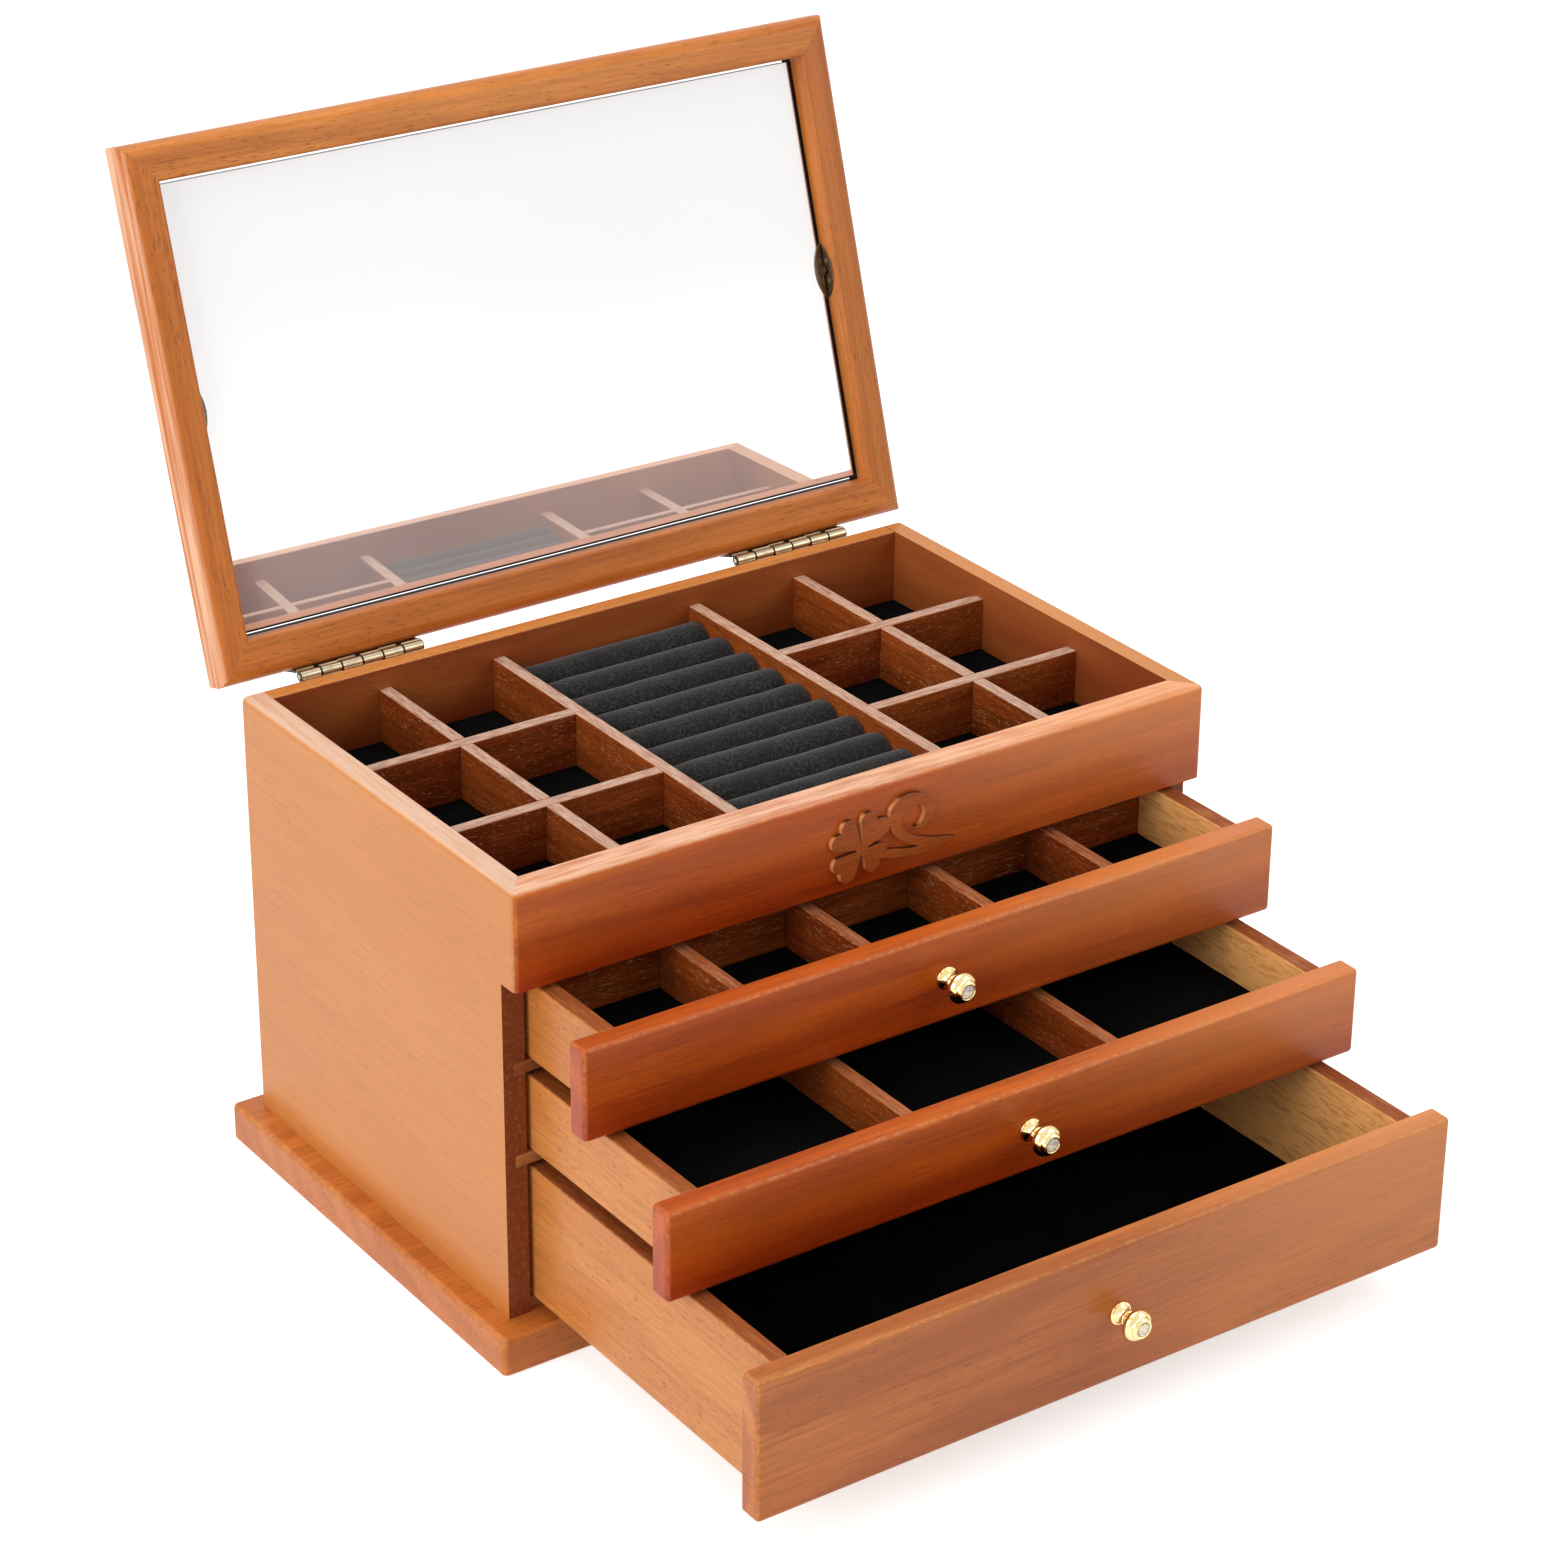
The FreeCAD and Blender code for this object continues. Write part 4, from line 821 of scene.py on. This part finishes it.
def drive_screws(node, body, sizes, towards, material):
    """Cross-head screws where the CAD node has its plain ones, each turned by a different amount."""
    places, aims = [], []
    for found in screws_in(node):
        into = Vector(towards(found[0]))
        nearest = min(point.dot(into) for point in found)
        face = [point for point in found if point.dot(into) < nearest + HEAD_FACE]
        low = Vector([min(point[axis] for point in face) for axis in range(3)])
        high = Vector([max(point[axis] for point in face) for axis in range(3)])
        places.append((low + high) / 2)
        aims.append(into.to_track_quat("Z", "Y").to_euler())
    order = sorted(range(len(places)), key=lambda number: tuple(round(value, 5) for value in places[number]))
    points = bpy.data.meshes.new(node + "_driven")
    points.from_pydata([places[number] for number in order], [], [])
    store = points.attributes.new("aim", "FLOAT_VECTOR", "POINT")
    for number, item in zip(order, store.data):
        item.vector = aims[number]
    pattern = bpy.data.objects.new(node + "_pattern", screw_mesh(**sizes))
    bpy.context.collection.objects.link(pattern)
    settings = {"Screw": pattern, "Turn Seed": len(places), "Metal": material}
    piece = grow(node + "_driven", points, SCREWS, settings)
    bpy.data.objects.remove(pattern)
    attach(piece, body)
    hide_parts(node)


# The open lid leans back past upright by this angle. Two directions lie along it and into it.
LEAN = math.radians(17.2)
UP_LID = Vector((0, math.sin(LEAN), math.cos(LEAN)))
INTO_LID = Vector((0, math.cos(LEAN), -math.sin(LEAN)))


def up_lid(point):
    return UP_LID


def forward(point):
    return (0.0, -1.0, 0.0)


def outward(point):
    return (math.copysign(1.0, point.x), 0.0, 0.0)


HINGE_SCREW = {"head": 0.002, "shank": 0.0009, "length": 0.0065}
drive_screws("hinge_screws_case", "case", HINGE_SCREW, forward, ANTIQUE)
drive_screws("hinge_screws_lid", "lid", HINGE_SCREW, up_lid, ANTIQUE)


# Lid: a frame of four mitred bars, well rounded along the outside. It stands open past upright, and its left
# stile shows a coarser, streaky grain on the rounded edge, painted paler there as a highlight from the light
# on the left.
LID = ((0.70, 0.25, 0.048), (0.60, 0.18, 0.028), (0.38, 0.08, 0.010))
RED_SIDE = ((-1, 0, 0.1), (0.62, 0.16, 0.035), 0.8, BROAD)
STREAKED_HIGHLIGHT = ((-1, 0, 0), (0.90, 0.52, 0.32), 1.0, (12, 330, 420), 0.0)
LID_TURN = Matrix.Rotation(math.radians(-90), 3, "Z") @ Matrix.Rotation(math.radians(90) + LEAN, 3, "X")
ALONG_STILES = tuple(LID_TURN.to_euler("XYZ"))
UNLIT = (0.004, 0.002, 0.001)
front_of_glass = min(INTO_LID.dot(vertex.co) for vertex in frame["nodes"]["mirror_glass"].data.vertices)


def paint_shade_behind_glass(material, inward):
    """The inner face of a bar, behind the glass, where no light reaches: painted shade, nearly black and
    dull.
    """
    tree = material.node_tree
    shader = tree.nodes["Principled BSDF"]
    coordinates = new_node(tree, "ShaderNodeTexCoord")
    masks = []
    behind = (front_of_glass + 0.0003, front_of_glass + 0.0009)
    for socket, direction, (low, high) in (("Object", INTO_LID, behind), ("Normal", inward, (0.6, 0.9))):
        along = new_node(tree, "ShaderNodeVectorMath", operation="DOT_PRODUCT")
        tree.links.new(coordinates.outputs[socket], along.inputs[0])
        along.inputs[1].default_value = direction
        masks.append(spread(tree, along.outputs["Value"], low, high))
    amount = product(tree, masks[0], masks[1])
    color = shader.inputs["Base Color"].links[0].from_socket
    rough = shader.inputs["Roughness"].links[0].from_socket
    tree.links.new(blended(tree, amount, color, UNLIT), shader.inputs["Base Color"])
    tree.links.new(work_out(tree, "MAXIMUM", rough, amount), shader.inputs["Roughness"])
    return material


front_rail = wood("lid_front_rail_wood", "x", LID, figure=0.3, worn=0.0)
eased("lid_rail_front", paint_shade_behind_glass(front_rail, -UP_LID))
rear_rail = wood("lid_rear_rail_wood", "x", LID, figure=0.3, worn=0.0)
eased("lid_rail_rear", paint_shade_behind_glass(rear_rail, UP_LID))
left_stile = wood("lid_left_stile_wood", ALONG_STILES, LID, 0.35, 0.3, relief=1.0,
                  faces=[RED_SIDE, STREAKED_HIGHLIGHT], worn=0.0)
eased("lid_stile_left", paint_shade_behind_glass(left_stile, (1, 0, 0)))
right_stile = wood("lid_right_stile_wood", ALONG_STILES, LID, pores=0.4, figure=0.3, worn=0.0)
eased("lid_stile_right", paint_shade_behind_glass(right_stile, (-1, 0, 0)))


# Mirror: silvered glass with a thin board behind it. It hangs between two bronze
# clips whose pins turn in oval plates screwed to the stiles.
# Where the painted shade along the glass's edges fades into the silvering.
SHADE_STRIP = (0.0006, 0.0010)
# The shading of the glass leans along this direction, by as much as it is long.
LEANING = (0.148, 0.0562, 0.1815)


def silvered_glass():
    """Silvered on its front face; along its lower and side edges it is left unsilvered and nearly black, as
    painted shade of the dark gap beside the glass. The glass is flat, but it is shaded as if it leaned a
    little, so that what it shows lies further down and to the left."""
    material = bpy.data.materials.new("silvered_glass")
    material.use_nodes = True
    tree = material.node_tree
    shader = tree.nodes["Principled BSDF"]
    coordinates = new_node(tree, "ShaderNodeTexCoord")
    place = coordinates.outputs["Object"]

    def reach(socket, direction):
        dot = new_node(tree, "ShaderNodeVectorMath", operation="DOT_PRODUCT")
        tree.links.new(socket, dot.inputs[0])
        dot.inputs[1].default_value = direction
        return dot.outputs["Value"]

    silvered = spread(tree, reach(coordinates.outputs["Normal"], -INTO_LID), 0.9, 0.99)
    glass = [vertex.co for vertex in frame["nodes"]["mirror_glass"].data.vertices]
    for direction in (UP_LID, Vector((1, 0, 0)), Vector((-1, 0, 0))):
        edge = min(direction.dot(point) for point in glass)
        strip = spread(tree, reach(place, direction), edge + SHADE_STRIP[0], edge + SHADE_STRIP[1])
        silvered = product(tree, silvered, strip)
    haze = spread(tree, noise(tree, place, (9, 9, 9), 2.0), 0.2, 0.8, 0.60, 0.66)
    tree.links.new(product(tree, haze, silvered), shader.inputs["Metallic"])
    color = blended(tree, silvered, (0.006, 0.006, 0.006), (1.0, 1.0, 1.0))
    tree.links.new(color, shader.inputs["Base Color"])
    shader.inputs["Roughness"].default_value = 0.012
    bump = new_node(tree, "ShaderNodeBump")
    bump.inputs["Distance"].default_value = 1.0
    tree.links.new(reach(place, LEANING), bump.inputs["Height"])
    tree.links.new(bump.outputs[0], shader.inputs["Normal"])
    return material


eased("mirror_glass", silvered_glass(), 0.00015)
BACKING = ((0.3, 0.2, 0.12), (0.22, 0.14, 0.08), (0.14, 0.08, 0.04))
# The board's edges are painted nearly black: painted shade of the gap around the glass.
SHADE_PAINTED_EDGES = [(direction, (0.004, 0.004, 0.004), 1.6, BROAD)
           for direction in ((1, 0, 0), (-1, 0, 0), UP_LID, -UP_LID)]
eased("mirror_back_board", wood("backing_board", "x", BACKING, coat=0.0, faces=SHADE_PAINTED_EDGES), 0.0003)
BRONZE = metal("dark_bronze", (0.22, 0.16, 0.10), 0.25, 0.55)
for name in ("mirror_clip_left", "mirror_clip_right", "mirror_pivot_plates"):
    eased(name, BRONZE, 0.00015)
PLATE_SCREW = {"head": 0.0011, "shank": 0.0005, "length": 0.005}
drive_screws("pivot_plate_screws", "lid", PLATE_SCREW, outward, ANTIQUE)


# Floor, light and camera: white paper under large soft boxes above and to the left,
# with a smaller one in front on the right, seen from the front left and above.
def seen_by_eye(tree):
    """1 for rays that show what they hit: straight, mirrored or through glass. 0 for rays that light."""
    rays = new_node(tree, "ShaderNodeLightPath")
    seen = work_out(tree, "MAXIMUM", rays.outputs["Is Camera Ray"], rays.outputs["Is Glossy Ray"])
    return work_out(tree, "MAXIMUM", seen, rays.outputs["Is Transmission Ray"])


FLOOR_REACH = 6
FLOOR_LEVEL = -0.0002
corners = [(x * FLOOR_REACH, y * FLOOR_REACH, FLOOR_LEVEL) for x, y in ((-1, -1), (1, -1), (1, 1), (-1, 1))]
floor_mesh = bpy.data.meshes.new("floor")
floor_mesh.from_pydata(corners, [], [(0, 1, 2, 3)])
floor = bpy.data.objects.new("floor", floor_mesh)
bpy.context.collection.objects.link(floor)
paper = bpy.data.materials.new("white_paper")
paper.use_nodes = True
shader = paper.node_tree.nodes["Principled BSDF"]
shader.inputs["Base Color"].default_value = (0.86, 0.86, 0.86, 1)
shader.inputs["Roughness"].default_value = 0.9
shader.inputs["Emission Color"].default_value = (1, 1, 1, 1)
glow = product(paper.node_tree, seen_by_eye(paper.node_tree), 0.62)
paper.node_tree.links.new(glow, shader.inputs["Emission Strength"])
finish_with(floor, paper)

world = bpy.data.worlds.new("studio")
bpy.context.scene.world = world
world.use_nodes = True
background = world.node_tree.nodes["Background"]
background.inputs["Color"].default_value = (1, 1, 1, 1)
brighter = product(world.node_tree, seen_by_eye(world.node_tree), 0.63)
world.node_tree.links.new(work_out(world.node_tree, "ADD", 0.37, brighter), background.inputs["Strength"])

MIDDLE_OF_BOX = Vector((0, 0, 0.15))
for name, place, size, power in (("box_above", (-0.2, 0.3, 1.7), 1.4, 16),
                                 ("box_left", (-1.65, -0.45, 0.8), 1.2, 15),
                                 ("box_front", (0.95, -1.05, 0.95), 0.9, 4.6)):
    lamp = bpy.data.lights.new(name, "AREA")
    lamp.shape = "SQUARE"
    lamp.size = size
    lamp.energy = power
    light = bpy.data.objects.new(name, lamp)
    bpy.context.collection.objects.link(light)
    light.location = place
    light.rotation_euler = (MIDDLE_OF_BOX - Vector(place)).to_track_quat("-Z", "Y").to_euler()

# The camera stands where the straight edges of the case run as they do in the photo.
camera_data = bpy.data.cameras.new("camera")
camera_data.sensor_width = 36
camera_data.lens = 99.55
camera = bpy.data.objects.new("camera", camera_data)
bpy.context.collection.objects.link(camera)
yaw, pitch, roll = math.radians(34.93), math.radians(-26.06), math.radians(0.41)
ahead = Vector((math.cos(pitch) * math.sin(yaw), math.cos(pitch) * math.cos(yaw), math.sin(pitch)))
across = Vector((math.cos(yaw), -math.sin(yaw), 0))
above = across.cross(ahead)
image_right = across * math.cos(roll) + above * math.sin(roll)
image_up = above * math.cos(roll) - across * math.sin(roll)
camera.matrix_world = Matrix((image_right, image_up, -ahead)).transposed().to_4x4()
camera.location = (-0.7790, -1.1511, 0.8261)
bpy.context.scene.camera = camera
bpy.context.scene.view_settings.view_transform = "Standard"
